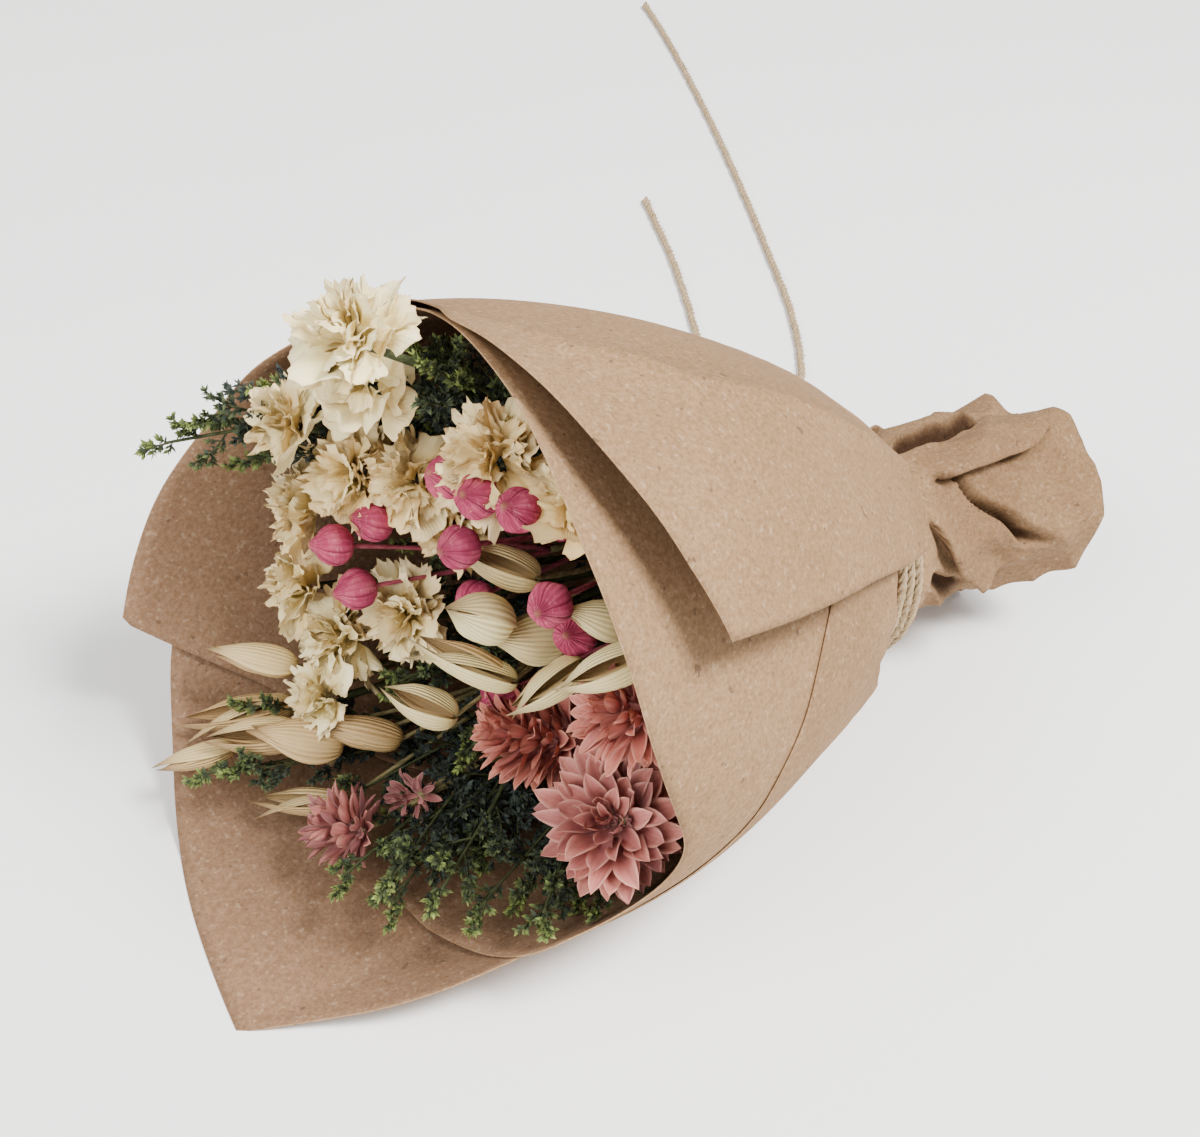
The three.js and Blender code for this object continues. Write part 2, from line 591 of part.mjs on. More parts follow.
// Wild oats: inflated pointed husks, of which the longest have opened.
// Each husk is given by its centre, the way it points, its half length and its radius.
const OATS = [
  { fork: [80, 3, 12],
    husks: [
      [[112, 4.6, 20], [0.5, -0.6, 0.1], 8, 4.3],
      [[120, 11.4, 13.3], [0.8, -0.1, 0.3], 7, 5.2],
      [[108, 13.5, 6.9], [0.9, -0.2, 0.1], 8, 4.2],
    ] },
  { fork: [82, -3, -8],
    husks: [
      [[117, 8.1, 0.2], [0.6, -0.8, 0.1], 10.5, 4],
      [[118, -0.3, -17.3], [0.5, -0.8, 0], 7.5, 4.3],
    ] },
  { fork: [78, 18, 6],
    husks: [
      [[112, 25.2, 6.6], [0.8, -0.1, -0.5], 8, 4],
      [[116, 40.9, 24.1], [0.7, -0.4, -0.5], 8, 4.3],
      [[108, 29.5, 23.4], [0.8, -0.3, 0.2], 7, 3.8],
    ] },
  { fork: [96, -36, -40],
    husks: [
      [[134, -36, -30], [0.8, -0.55, 0], 8.5, 3.6],
      [[135, -37.5, -44.4], [0.75, -0.5, -0.35], 12, 4.2],
      [[146, -33.2, -51], [0.8, -0.35, -0.4], 8, 2.8],
    ] },
  { fork: [90, -10, -28],
    husks: [
      [[131, -20.1, -40], [0.8, -0.5, 0], 9, 4.4],
      [[137, -27, -42], [0.9, -0.4, -0.1], 9, 4.2],
      [[121, -13.7, -36.3], [0.8, -0.5, 0], 9, 4],
      [[130, -15.7, -53], [0.75, -0.6, -0.2], 9.5, 3.4],
    ] },
];

const OPEN_HUSK = 9;   // husks longer than this half length have opened
function oatHusk([at, facing, half, radius], owner) {
  const centre = place(...at);
  const axis = direction(...facing);
  for (const share of [-0.5, 0, 0.5]) {
    take(centre.clone().addScaledVector(axis, share * half), radius * 0.92, owner);
  }
  const sideways = new THREE.Vector3(0, 0, 1).cross(axis).normalize();
  const root = centre.clone().addScaledVector(axis, -half * 0.9);
  const tip = centre.clone().addScaledVector(axis, half);
  take(tip, 0.6, owner);
  const husk = turned(centre, axis, eggRings(half, radius, 4, 0.8), 6, 0.05);
  const opening = axis.clone().applyAxisAngle(sideways, -0.25);
  const second = blade(root, opening, sideways, half * 2.05, radius * 1.5, radius * 0.4);
  return { solids: half > OPEN_HUSK ? [husk, second] : [husk], root };
}

// Green sprays: thin twigs with small pointed leaflets, from a main stem that ends at the tip given
const GREEN = [
  { from: [100, -35, 32], to: [148, -61, 11], twigs: 6, reach: 14 },
  { from: [84, -6, 31], to: [118, -10, 52], twigs: 5, reach: 15 },
  { from: [80, -26, 21], to: [111, -37, 42], twigs: 4, reach: 14 },
  { from: [82, -12, -14], to: [116, -12, -22], twigs: 5, reach: 12 },
  { from: [88, 4, -30], to: [126, 27, -41], twigs: 6, reach: 16 },
  { from: [88, 22, -32.4], to: [114, 43.5, -36.5], twigs: 5, reach: 14 },
  { from: [90, -4, -40], to: [137, 10, -49], twigs: 5, reach: 14 },
  { from: [100, -14, -44], to: [149, -28, -50], twigs: 5, reach: 11 },
];
const LEAFLET_PAIRS = 3;

// Twig with its leaflets cut to the rib in one thin arched blade
function twig(root, along, across, length) {
  const normal = along.clone().cross(across).normalize();
  const rib = 0.4;
  const thickness = BLADE;
  const at = (share, aside, raise) => root.clone()
    .addScaledVector(along, length * share)
    .addScaledVector(across, aside)
    .addScaledVector(normal, raise + 1.2 * Math.sin(Math.PI * share));
  const outline = { left: [], right: [] };
  for (let i = 0; i <= LEAFLET_PAIRS; i += 1) {
    const share = 0.95 * (i / LEAFLET_PAIRS);
    outline.left.push(at(share, rib, 0));
    outline.right.push(at(share, -rib, 0));
  }
  const tips = { left: [], right: [] };
  for (let i = 0; i < LEAFLET_PAIRS; i += 1) {
    const share = 0.95 * ((i + 1.35) / LEAFLET_PAIRS);
    const leaf = 3.2 - 0.55 * i;
    tips.left.push(at(share, leaf, 1));
    tips.right.push(at(share, -leaf, -0.8));
  }
  const spots = [...tips.left, ...tips.right, ...outline.left.slice(1)];
  const positions = [];
  const triangles = [];
  const pair = (point) => {
    positions.push(point, point.clone().addScaledVector(normal, -thickness));
    return positions.length - 2;
  };
  const left = outline.left.map(pair);
  const right = outline.right.map(pair);
  const leftTips = tips.left.map(pair);
  const rightTips = tips.right.map(pair);
  const face = (a, b, c) => triangles.push([a, b, c], [a + 1, c + 1, b + 1]);
  const rim = (a, b) => triangles.push([a, b + 1, b], [a, a + 1, b + 1]);
  for (let i = 0; i < LEAFLET_PAIRS; i += 1) {
    face(left[i], right[i], right[i + 1]);
    face(left[i], right[i + 1], left[i + 1]);
    face(left[i], left[i + 1], leftTips[i]);
    face(right[i], rightTips[i], right[i + 1]);
    rim(left[i + 1], leftTips[i]);
    rim(leftTips[i], left[i]);
    rim(right[i], rightTips[i]);
    rim(rightTips[i], right[i + 1]);
  }
  rim(left[0], right[0]);
  rim(right[LEAFLET_PAIRS], left[LEAFLET_PAIRS]);
  return { spots, build: () => solidFrom(positions, triangles) };
}

function greenSpray(form, owner) {
  const from = place(...form.from);
  const tip = place(...form.to);
  const bend = clearWay([from], tip, 0.9, owner);
  const { points, solid } = mainStem(from, owner, 0.5, [bend, tip]);
  const solids = [solid];
  const curve = new THREE.CatmullRomCurve3(points);
  for (let k = 0; k < form.twigs; k += 1) {
    const share = 0.7 + 0.29 * (k / (form.twigs - 1));
    const root = curve.getPoint(share);
    const ahead = curve.getTangent(share);
    const across = new THREE.Vector3(0.2, 0.1, 1).cross(ahead).normalize();
    const length = form.reach * (1 - 0.45 * (k / form.twigs)) * between(0.85, 1.1);
    for (let attempt = 0; attempt < 9; attempt += 1) {
      const outward = across.clone().applyAxisAngle(ahead, k * 2.4 + attempt * 0.7);
      const along = ahead.clone().multiplyScalar(0.75).addScaledVector(outward, 0.66).normalize();
      const flat = ahead.clone().cross(along).normalize();
      const made = twig(root, along, flat, length * (1 - 0.04 * attempt));
      if (fits(made.spots, 0.6, owner)) {
        takeAll(made.spots, 0.8, owner);
        solids.push(made.build());
        break;
      }
    }
  }
  return solids;
}

// Twine: turns round the pinched neck, a knot on the far side, and two free ends lying on the table
const TWINE_TURN_RADIUS = WRAP_NECK_RADIUS - PINCH_DEPTH + PAPER / 2 + 2 * CLEARANCE + TWINE / 2;
const KNOT_ANGLE = 255;
const TWINE_ON_TABLE = TWINE / 2 + 0.02;
const KNOT_REACH = TWINE_TURN_RADIUS + TWINE * 0.9;

function section(radius, sides) {
  const points = [];
  for (let i = 0; i < sides; i += 1) {
    const turn = (2 * Math.PI * (i + 0.5)) / sides;
    points.push(new THREE.Vector2(radius * Math.cos(turn), radius * Math.sin(turn)));
  }
  return new THREE.Shape(points);
}

function tube(points, diameter, sides, steps) {
  return new THREE.ExtrudeGeometry(section(diameter / 2, sides), {
    extrudePath: new THREE.CatmullRomCurve3(points), steps, bevelEnabled: false,
  });
}

function aroundNeck(t, angle, radius) {
  return place(t, radius * Math.sin(radians(angle)), radius * Math.cos(radians(angle)));
}

function twineTie() {
  const turns = [];
  const perTurn = 15;
  const rise = TWINE + 0.35;
  for (let i = 0; i <= TWINE_TURNS * perTurn; i += 1) {
    const share = i / perTurn;
    turns.push(aroundNeck(rise * (share - TWINE_TURNS / 2), KNOT_ANGLE + 360 * share, TWINE_TURN_RADIUS));
  }
  const loop = (tilt, reach) => {
    const points = [];
    for (let i = 0; i <= 10; i += 1) {
      const turn = 2 * Math.PI * 0.9 * (i / 10);
      const [long, short] = [3.8 * Math.cos(turn), 2.3 * Math.sin(turn)];
      const aside = long * Math.sin(tilt) + short * Math.cos(tilt);
      points.push(aroundNeck(
        long * Math.cos(tilt) - short * Math.sin(tilt),
        KNOT_ANGLE + THREE.MathUtils.radToDeg(aside / reach),
        reach + 0.7 * Math.sin(2 * turn),
      ));
    }
    return points;
  };
  return fuse([
    solidOf(tube(turns, TWINE, 5, TWINE_TURNS * perTurn)),
    solidOf(tube(loop(0.2, KNOT_REACH), TWINE, 5, 10)),
    solidOf(tube(loop(1.5, KNOT_REACH + 0.9), TWINE, 5, 10)),
  ]);
}

// Routes of the free ends, in order from the knot
const onTable = (...spots) => spots.map(([x, y]) => [x, y, TWINE_ON_TABLE]);
const LONG_END = [
  [-1.1, -23.7, 29], [-3, -29, 23], [-7, -35, 14], [-13, -42, 6], [-22, -50, 1.9],
  ...onTable([-34, -60], [-48, -71], [-63, -84], [-75, -99], [-87, -118], [-98, -139], [-110, -162]),
  ...onTable([-122, -186], [-134, -211], [-146, -237], [-157, -262], [-166, -284], [-173, -303]),
];
const SHORT_END = [
  [2.9, -23.9, 28.5], [6, -31, 22], [5, -40, 12], [2.5, -45.5, 7.8], [-1, -51, 4.5], [-9, -62, 1.5],
  ...onTable([-18, -73], [-28, -85], [-38, -98], [-47, -111], [-55, -125], [-63, -140], [-71, -156]),
  ...onTable([-78, -172], [-84.5, -187]),
];

function twineEnd(route, steps) {
  return tube(route.map((point) => new THREE.Vector3(...point)), TWINE, 8, steps);
}

// Sheets as grids of middle points. rowAt(from, to, k) gives the place of row k between the sheet's two ends.
function sheetGrid(angles, count, rowAt, tail, rim, radiusAt, floor, slide) {
  return [...Array(count).keys()].map((k) => angles.map((angle) => {
    const t = rowAt(read(tail, angle), read(rim, angle), k);
    const moved = angle + slide(t, angle);
    return sheetPoint(t, moved, radiusAt(t, moved), floor);
  }));
}

// Rows of the inner sheet: three across the flare, two that hold the neck straight, and the rest up the wrap
function innerRow(from, to, k) {
  const neckRows = [-6, 6, 12, 20];
  const flareRows = 3;
  if (k < flareRows) return THREE.MathUtils.lerp(from, neckRows[0], k / flareRows);
  if (k < flareRows + neckRows.length) return neckRows[k - flareRows];
  const wrapRows = 5;
  const share = (k - flareRows - neckRows.length + 1) / wrapRows;
  return THREE.MathUtils.lerp(neckRows[neckRows.length - 1], to, share);
}

function innerSheet() {
  const angles = [-205, -194, -183, -172, -161, -150, -140, -130, -119, -110, -100, -90, -80, -70,
    -60, -48, -36, -24, -12, -4, 4, 14, 25, 36, 47, 58, 69, 80, 89, 97, 106, 116, 126, 138, 150];
  const floor = LAYER_STEP + PAPER / 2 + 0.6;
  return slab(sheetGrid(angles, 12, innerRow, INNER_TAIL, INNER_RIM, innerRadius, floor, () => 0), PAPER);
}

function outerSheet() {
  const angles = [58, 47, 36, 25, 13, 3, -4, -9, -18, -30, -43, -57, -71, -85, -99, -112, -125, -134,
    -144, -154, -164, -173, -182, -189, -196, -205, -213, -223, -240, -255, -268, -281, -294, -306];
  const count = 9;
  const outerRow = (from, to, k) => THREE.MathUtils.lerp(from, to, (k / (count - 1)) ** 1.25);
  const slide = (t, angle) => 22 * (1 - smooth(0, 42, t)) * smooth(10, 58, angle);
  const radiusAt = (t, angle) => wrapRadius(t) + outerLift(t, angle);
  return slab(sheetGrid(angles, count, outerRow, OUTER_TAIL, OUTER_RIM, radiusAt, PAPER / 2, slide), PAPER);
}

// Finishes
const FINISHES = {
  kraft: { color: 0xb99b7c, roughness: 0.9, metalness: 0 },
  jute: { color: 0xb5a588, roughness: 0.95, metalness: 0 },
  coral: { color: 0xc87a6a, roughness: 0.8, metalness: 0 },
  cream: { color: 0xe3d9b8, roughness: 0.85, metalness: 0 },
  pink: { color: 0xcf6384, roughness: 0.6, metalness: 0 },
  straw: { color: 0xd9cba4, roughness: 0.75, metalness: 0 },
  green: { color: 0x3f5a34, roughness: 0.85, metalness: 0 },
};

const bouquet = new THREE.Group();
bouquet.position.copy(TO_ORIGIN);

function add(name, geometry, finish) {
  const mesh = new THREE.Mesh(geometry, new THREE.MeshStandardMaterial(FINISHES[finish]));
  mesh.name = name;
  bouquet.add(mesh);
}

// Blooms are placed first, then the stalks that carry them, and the leaves fill what is left.
const plants = [];
CORAL.forEach((form, i) => {
  const name = `coral_flower_${i + 1}`;
  const { solids, back } = coralFlower(form, name);
  plants.push({ name, finish: "coral", solids, fork: back, ends: [] });
});
FLAX.forEach((form, i) => {
  const name = `flax_spray_${i + 1}`;
  const fork = place(...form.fork);
  const solids = [];
  const ends = form.pods.map((at) => {
    const centre = place(...at);
    const axis = centre.clone().sub(fork).normalize();
    solids.push(flaxPod(centre, axis, name));
    return centre.clone().addScaledVector(axis, -POD_RADIUS * 0.8);
  });
  plants.push({ name, finish: "pink", solids, fork, ends });
});
OATS.forEach((form, i) => {
  const name = `oat_spray_${i + 1}`;
  const husks = form.husks.map((husk) => oatHusk(husk, name));
  plants.push({
    name, finish: "straw", solids: husks.flatMap((husk) => husk.solids), fork: place(...form.fork),
    ends: husks.map((husk) => husk.root),
  });
});
CREAM.forEach((form, i) => {
  const name = `cream_flower_${i + 1}`;
  const { solids, back } = creamFlower(form, name);
  plants.push({ name, finish: "cream", solids, fork: back, ends: [] });
});
plants.forEach(({ name, finish, solids, fork, ends }) => {
  const { points, solid } = mainStem(fork, name, 0.8);
  const curve = new THREE.CatmullRomCurve3(points);
  solids.push(solid);
  ends.forEach((end, k) => {
    const root = curve.getPoint(0.985 - 0.025 * k);
    solids.push(sideStem(root, end, name, STALK_RADIUS * 1.2, STALK_RADIUS));
  });
  add(name, geometryOf(fuse(solids)), finish);
});
GREEN.forEach((form, i) => {
  const name = `green_spray_${i + 1}`;
  add(name, geometryOf(fuse(greenSpray(form, name))), "green");
});

add("paper_inner_sheet", geometryOf(innerSheet()), "kraft");
add("paper_outer_sheet", geometryOf(outerSheet()), "kraft");
add("twine_tie", geometryOf(twineTie()), "jute");
add("twine_end_long", twineEnd(LONG_END, 44), "jute");
add("twine_end_short", twineEnd(SHORT_END, 26), "jute");

export default bouquet;
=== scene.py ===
# Looks of the dried flower bouquet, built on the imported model. Lengths are in millimetres in the part's own
# frame until a mesh is made, and each mesh is in metres.
import math

import bpy
import numpy as np
from mathutils import Matrix, Vector


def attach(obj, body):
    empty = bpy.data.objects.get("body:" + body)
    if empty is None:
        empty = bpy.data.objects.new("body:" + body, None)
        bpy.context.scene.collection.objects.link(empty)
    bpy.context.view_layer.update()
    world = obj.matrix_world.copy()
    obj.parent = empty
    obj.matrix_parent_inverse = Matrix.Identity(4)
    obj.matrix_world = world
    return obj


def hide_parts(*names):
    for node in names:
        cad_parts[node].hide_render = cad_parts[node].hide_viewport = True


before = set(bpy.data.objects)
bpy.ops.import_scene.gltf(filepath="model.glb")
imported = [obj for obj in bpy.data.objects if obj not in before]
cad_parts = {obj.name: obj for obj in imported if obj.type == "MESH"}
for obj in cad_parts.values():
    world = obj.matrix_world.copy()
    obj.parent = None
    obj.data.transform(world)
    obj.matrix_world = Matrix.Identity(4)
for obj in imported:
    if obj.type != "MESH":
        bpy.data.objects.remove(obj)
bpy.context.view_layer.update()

# Driving dimensions, the same as the solids have
MM = 0.001
TO_ORIGIN = np.array([-57.948, 2.809, 0.0])
PITCH = math.radians(12.2)
NECK = np.array([0.0, 0.0, 35.0])
AXIS = np.array([math.cos(PITCH), 0.0, math.sin(PITCH)])
UP = np.array([-math.sin(PITCH), 0.0, math.cos(PITCH)])
SIDE = np.array([0.0, 1.0, 0.0])
WRAP_NECK_RADIUS = 20.0
WRAP_MOUTH_RADIUS = 62.8
WRAP_LENGTH = 114.3
PINCH_DEPTH = 2.6
SHEET = 0.3                # paper thickness that shows
LAYER_STEP = 1.9
FRONT_FLAP_LIFT = 5.5
TWINE = 2.3
TWINE_TURNS = 3
TWINE_TURN_RADIUS = 19.6
TIE_MIDDLE = 6.0           # the tie lies this far up the wrap on average
TIE_TILT = 6.0             # and this much further at TIE_TILT_ANGLE, as its turns run askew
TIE_TILT_ANGLE = 80.0
TIE_LOOSE = 9.3            # the paper stands this much further out at TIE_LOOSE_ANGLE, as it is held loosely
TIE_LOOSE_ANGLE = 105.0
INNER_FLOOR = 0.9          # the sheets' middle surfaces don't go below these heights
OUTER_FLOOR = 0.16
KNOT_ANGLE = 255.0
KNOT_REACH = 21.7
POD_RADIUS = 4.2
POD_SEAMS = 5
POD_RIBS = 20
HUSK_VEINS = 82.0          # the phase that the veins' waves run through across a husk
ON_TABLE = 1.17            # height of a twine's middle where it lies on the table
ABOUT_A_TURN = 6.3         # the most that a phase or a turn drawn at random can be
GOLDEN_TURN = 2.39996

rng = np.random.default_rng(20611)


def spread(origin, *parts):
    """The origin plus each given amount along its direction. An amount can be a whole grid."""
    for amount, way in parts:
        origin = origin + np.asarray(amount)[..., None] * way
    return origin


def place(t, side, up):
    return spread(NECK, (t, AXIS), (side, SIDE), (up, UP))


def unit(vector):
    vector = np.asarray(vector, float)
    return vector / np.linalg.norm(vector, axis=-1, keepdims=True)


def place_in_wrap(points):
    """How far points lie along the axis, sideways and up from it."""
    away = points - NECK
    return away @ AXIS, away @ SIDE, away @ UP


def direction(t, side, up):
    return unit(place(t, side, up) - NECK)


def smooth(low, high, value):
    share = np.clip((np.asarray(value, float) - low) / (high - low), 0, 1)
    return share * share * (3 - 2 * share)


def vary(most):
    return rng.uniform(-most, most)


def towards(first, second, turn):
    """The first direction turned towards the second one, which is square to it."""
    return first * math.cos(turn) + second * math.sin(turn)


def around(axis):
    """Two directions square to the axis and to each other."""
    side = unit(np.cross([0.3, 0.2, 1.0], axis))
    return side, np.cross(axis, side)


def turned(vector, axis, angle):
    """The vector turned about a unit axis."""
    vector, axis = np.asarray(vector, float), np.asarray(axis, float)
    return (vector * math.cos(angle) + np.cross(axis, vector) * math.sin(angle)
            + axis * np.dot(axis, vector) * (1 - math.cos(angle)))


def curve(points, count):
    """Points along a smooth curve through the given ones."""
    points = np.asarray(points, float)
    padded = np.vstack([2 * points[0] - points[1], points, 2 * points[-1] - points[-2]])
    where = np.linspace(0, len(points) - 1, count)
    span = np.minimum(where.astype(int), len(points) - 2)
    s = (where - span)[:, None]
    p0, p1, p2, p3 = (padded[span + k] for k in range(4))
    return 0.5 * (2 * p1 + (p2 - p0) * s + (2 * p0 - 5 * p1 + 4 * p2 - p3) * s ** 2
                  + (3 * p1 - p0 - 3 * p2 + p3) * s ** 3)


def frames_along(path):
    """The way ahead at each point of a path, and two directions square to it that hardly twist."""
    ahead = unit(np.gradient(path, axis=0))
    across = [unit(np.cross(ahead[0], [0.3, 0.2, 1.0]))]
    for way in ahead:
        across.append(unit(across[-1] - np.dot(across[-1], way) * way))
    across = np.array(across[1:])
    return ahead, across, np.cross(ahead, across)


def tones(along, across, shade):
    """What the materials read at a point: how far it is along and across a petal, and the shade."""
    return np.stack(np.broadcast_arrays(along, across, shade), axis=2)


class Shape:
    """Gathers grids of points, with a tone for each point, into one mesh."""

    def __init__(self):
        self.points, self.quads, self.tones, self.count = [], [], [], 0

    def grid(self, points, tone, around=False):
        rows, columns = points.shape[:2]
        index = self.count + np.arange(rows * columns).reshape(rows, columns)
        if around:
            index = np.concatenate([index, index[:, :1]], axis=1)
        corners = [index[:-1, :-1], index[:-1, 1:], index[1:, 1:], index[1:, :-1]]
        self.quads.append(np.stack(corners, -1).reshape(-1, 4))
        self.points.append(points.reshape(-1, 3))
        self.tones.append(np.broadcast_to(tone, (rows, columns, 3)).reshape(-1, 3))
        self.count += rows * columns

    def tube(self, path, radii, sides, shade):
        """Round stem along a path, closed at both ends."""
        path = np.asarray(path, float)
        radii = np.broadcast_to(np.asarray(radii, float), (len(path),))
        turn = 2 * math.pi * np.arange(sides) / sides
        rings = []
        for middle, radius, across, upward in zip(path, radii, *frames_along(path)[1:]):
            rings.append(middle + radius * (np.outer(np.cos(turn), across) + np.outer(np.sin(turn), upward)))
        points = np.stack([np.repeat(path[:1], sides, 0), *rings, np.repeat(path[-1:], sides, 0)])
        along = np.linspace(0, 1, len(points))[:, None]
        self.grid(points, tones(along, np.arange(sides) / sides, shade), around=True)

    def make(self, name, material, thickness=0.0):
        mesh = bpy.data.meshes.new(name)
        points = (np.concatenate(self.points) + TO_ORIGIN) * MM
        quads = np.concatenate(self.quads)
        mesh.vertices.add(len(points))
        mesh.vertices.foreach_set("co", points.ravel())
        mesh.loops.add(quads.size)
        mesh.loops.foreach_set("vertex_index", quads.ravel())
        mesh.polygons.add(len(quads))
        mesh.polygons.foreach_set("loop_start", np.arange(0, quads.size, 4))
        mesh.polygons.foreach_set("use_smooth", np.ones(len(quads), bool))
        colours = np.concatenate([np.concatenate(self.tones), np.ones((len(points), 1))], axis=1)
        layer = mesh.attributes.new("tone", "FLOAT_COLOR", "POINT")
        layer.data.foreach_set("color", colours.ravel())
        mesh.update(calc_edges=True)
        for skin in material if isinstance(material, list) else [material]:
            mesh.materials.append(skin)
        piece = bpy.data.objects.new(name, mesh)
        bpy.context.scene.collection.objects.link(piece)
        if thickness:
            solid = piece.modifiers.new("thickness", "SOLIDIFY")
            solid.thickness = thickness * MM
            solid.offset = 0
            solid.material_offset = len(mesh.materials) - 2
            solid.material_offset_rim = len(mesh.materials) - 1
        return piece


def stand_for(piece, node):
    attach(piece, "root")
    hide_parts(node)
    return piece


# Camera at the photograph's angle
CAMERA_AT = np.array([254.2, 208.6, 306.0])
CAMERA_AZIMUTH = math.radians(49.67)
CAMERA_HEIGHT = math.radians(42.0)
CAMERA_ROLL = math.radians(6.0)
CAMERA_LENS = 54.0
CAMERA_SENSOR = 36.0
CAMERA_NEAR = 0.01         # metres

back = np.array([math.cos(CAMERA_HEIGHT) * math.cos(CAMERA_AZIMUTH),
                 math.cos(CAMERA_HEIGHT) * math.sin(CAMERA_AZIMUTH), math.sin(CAMERA_HEIGHT)])
right = np.array([-math.sin(CAMERA_AZIMUTH), math.cos(CAMERA_AZIMUTH), 0.0])
above = np.cross(back, right)
rolled_right = towards(right, above, CAMERA_ROLL)
rolled_above = towards(above, right, -CAMERA_ROLL)
camera = bpy.data.objects.new("camera", bpy.data.cameras.new("camera"))
camera.data.lens = CAMERA_LENS
camera.data.sensor_width = CAMERA_SENSOR
camera.data.clip_start = CAMERA_NEAR
turn_to_view = Matrix([rolled_right, rolled_above, back]).transposed().to_4x4()
camera.matrix_world = Matrix.Translation(Vector((CAMERA_AT + TO_ORIGIN) * MM)) @ turn_to_view
bpy.context.scene.collection.objects.link(camera)
bpy.context.scene.camera = camera


# Materials
class Nodes:
    """Short helpers to build a material's nodes."""

    def __init__(self, name):
        self.material = bpy.data.materials.new(name)
        self.material.use_nodes = True
        self.tree = self.material.node_tree
        self.shader = self.tree.nodes["Principled BSDF"]
        self.where = self.add("ShaderNodeTexCoord").outputs["Object"]

    def feed(self, node, inputs):
        """Gives inputs a number, a colour, a vector or another node's output each."""
        for key, value in inputs.items():
            socket = node.inputs[key]
            if isinstance(value, bpy.types.NodeSocket):
                self.tree.links.new(value, socket)
            elif isinstance(value, tuple) and socket.type == "RGBA":
                socket.default_value = (*value, 1.0)
            else:
                socket.default_value = value

    def add(self, kind, inputs=None, **values):
        node = self.tree.nodes.new(kind)
        for key, value in values.items():
            setattr(node, key, value)
        self.feed(node, inputs or {})
        return node

    def noise(self, scale, detail=4.0, roughness=0.55, where=None):
        return self.add("ShaderNodeTexNoise", {"Scale": scale, "Detail": detail, "Roughness": roughness,
                                               "Vector": where or self.where}).outputs["Fac"]

    def stretched(self, amounts):
        return self.add("ShaderNodeMapping", {"Scale": amounts, "Vector": self.where}).outputs["Vector"]

    def ramp(self, value, stops):
        node = self.add("ShaderNodeValToRGB", {"Fac": value})
        elements = node.color_ramp.elements
        while len(elements) < len(stops):
            elements.new(0.5)
        for element, (position, colour) in zip(elements, stops):
            element.position = position
            element.color = (*colour, 1.0)
        return node.outputs["Color"]

    def steps(self, value, low, high):
        return self.add("ShaderNodeMapRange", {"Value": value, "From Min": low, "From Max": high},
                        interpolation_type="SMOOTHSTEP").outputs["Result"]

    def math(self, operation, first, second=0.0):
        return self.add("ShaderNodeMath", {0: first, 1: second}, operation=operation).outputs["Value"]

    def mix(self, share, first, second, blend="MIX"):
        # a colour mix has its factor and its two colours in these sockets
        inputs = {0: share, 6: first, 7: second}
        return self.add("ShaderNodeMix", inputs, data_type="RGBA", blend_type=blend).outputs[2]

    def tint(self, base, colour, value, low, high, most):
        """Lays the colour over the base: none where the value is low, up to most where it is high."""
        return self.mix(self.math("MULTIPLY", self.steps(value, low, high), most), base, colour)

    def tone(self):
        attribute = self.add("ShaderNodeAttribute", attribute_name="tone")
        parts = self.add("ShaderNodeSeparateColor", {"Color": attribute.outputs["Color"]})
        return parts.outputs["Red"], parts.outputs["Green"], parts.outputs["Blue"]

    def bump(self, *heights):
        """Each height is a value and its depth in metres."""
        below = {}
        for value, depth in heights:
            node = self.add("ShaderNodeBump", {"Strength": 1.0, "Distance": depth, "Height": value, **below})
            below = {"Normal": node.outputs["Normal"]}
        self.feed(self.shader, below)

    def done(self, colour, roughness, specular):
        self.feed(self.shader, {"Base Color": colour, "Roughness": roughness,
                                "Specular IOR Level": specular, "Sheen Weight": 0.0})
        return self.material


KRAFT_SHADES = [(0.30, (0.262, 0.157, 0.081)), (0.55, (0.306, 0.189, 0.102)), (0.75, (0.346, 0.218, 0.120))]


def kraft_material(name, tint):
    """tint is what the paper's own colour is multiplied by: the side that faces the flowers gets a darker,
    less warm copy, painted shade inside the wrap, and the cut edge a paler copy, a painted highlight.
    """
    n = Nodes(name)
    shades = [(at, tuple(c * t for c, t in zip(colour, tint))) for at, colour in KRAFT_SHADES]
    base = n.ramp(n.noise(16.0, 5.0, 0.6), shades)
    grain = n.noise(1100.0, 3.0, 0.75)
    light = n.mix(n.steps(grain, 0.35, 0.62), n.mix(1.0, base, (0.74, 0.70, 0.66), "MULTIPLY"), base)
    fibres = n.noise(1.0, 4.0, 0.65, n.stretched((600.0, 2200.0, 1300.0)))
    light = n.tint(light, (0.46, 0.33, 0.22), fibres, 0.56, 0.78, 0.20)
    # pale specks, dull specks and a few dark flecks
    light = n.tint(light, (0.52, 0.38, 0.25), n.noise(800.0, 2.0, 0.5), 0.58, 0.72, 0.32)
    light = n.tint(light, (0.20, 0.115, 0.06), n.noise(520.0, 2.0, 0.5), 0.55, 0.72, 0.35)
    light = n.tint(light, (0.11, 0.065, 0.04), n.noise(430.0, 2.0, 0.5), 0.68, 0.74, 0.75)
    # painted shade: a sheet is darkened deep in folds and pockets, among the flowers, close under the front
    # flap's edge and beyond the flap's crease; the open end beyond the tie is darker too
    colour = n.mix(n.tone()[2], light, n.mix(1.0, light, (0.16, 0.13, 0.12), "MULTIPLY"))
    n.bump((n.noise(60.0, 3.0), 0.00010), (fibres, 0.00004), (grain, 0.00007))
    return n.done(colour, 0.95, 0.12)


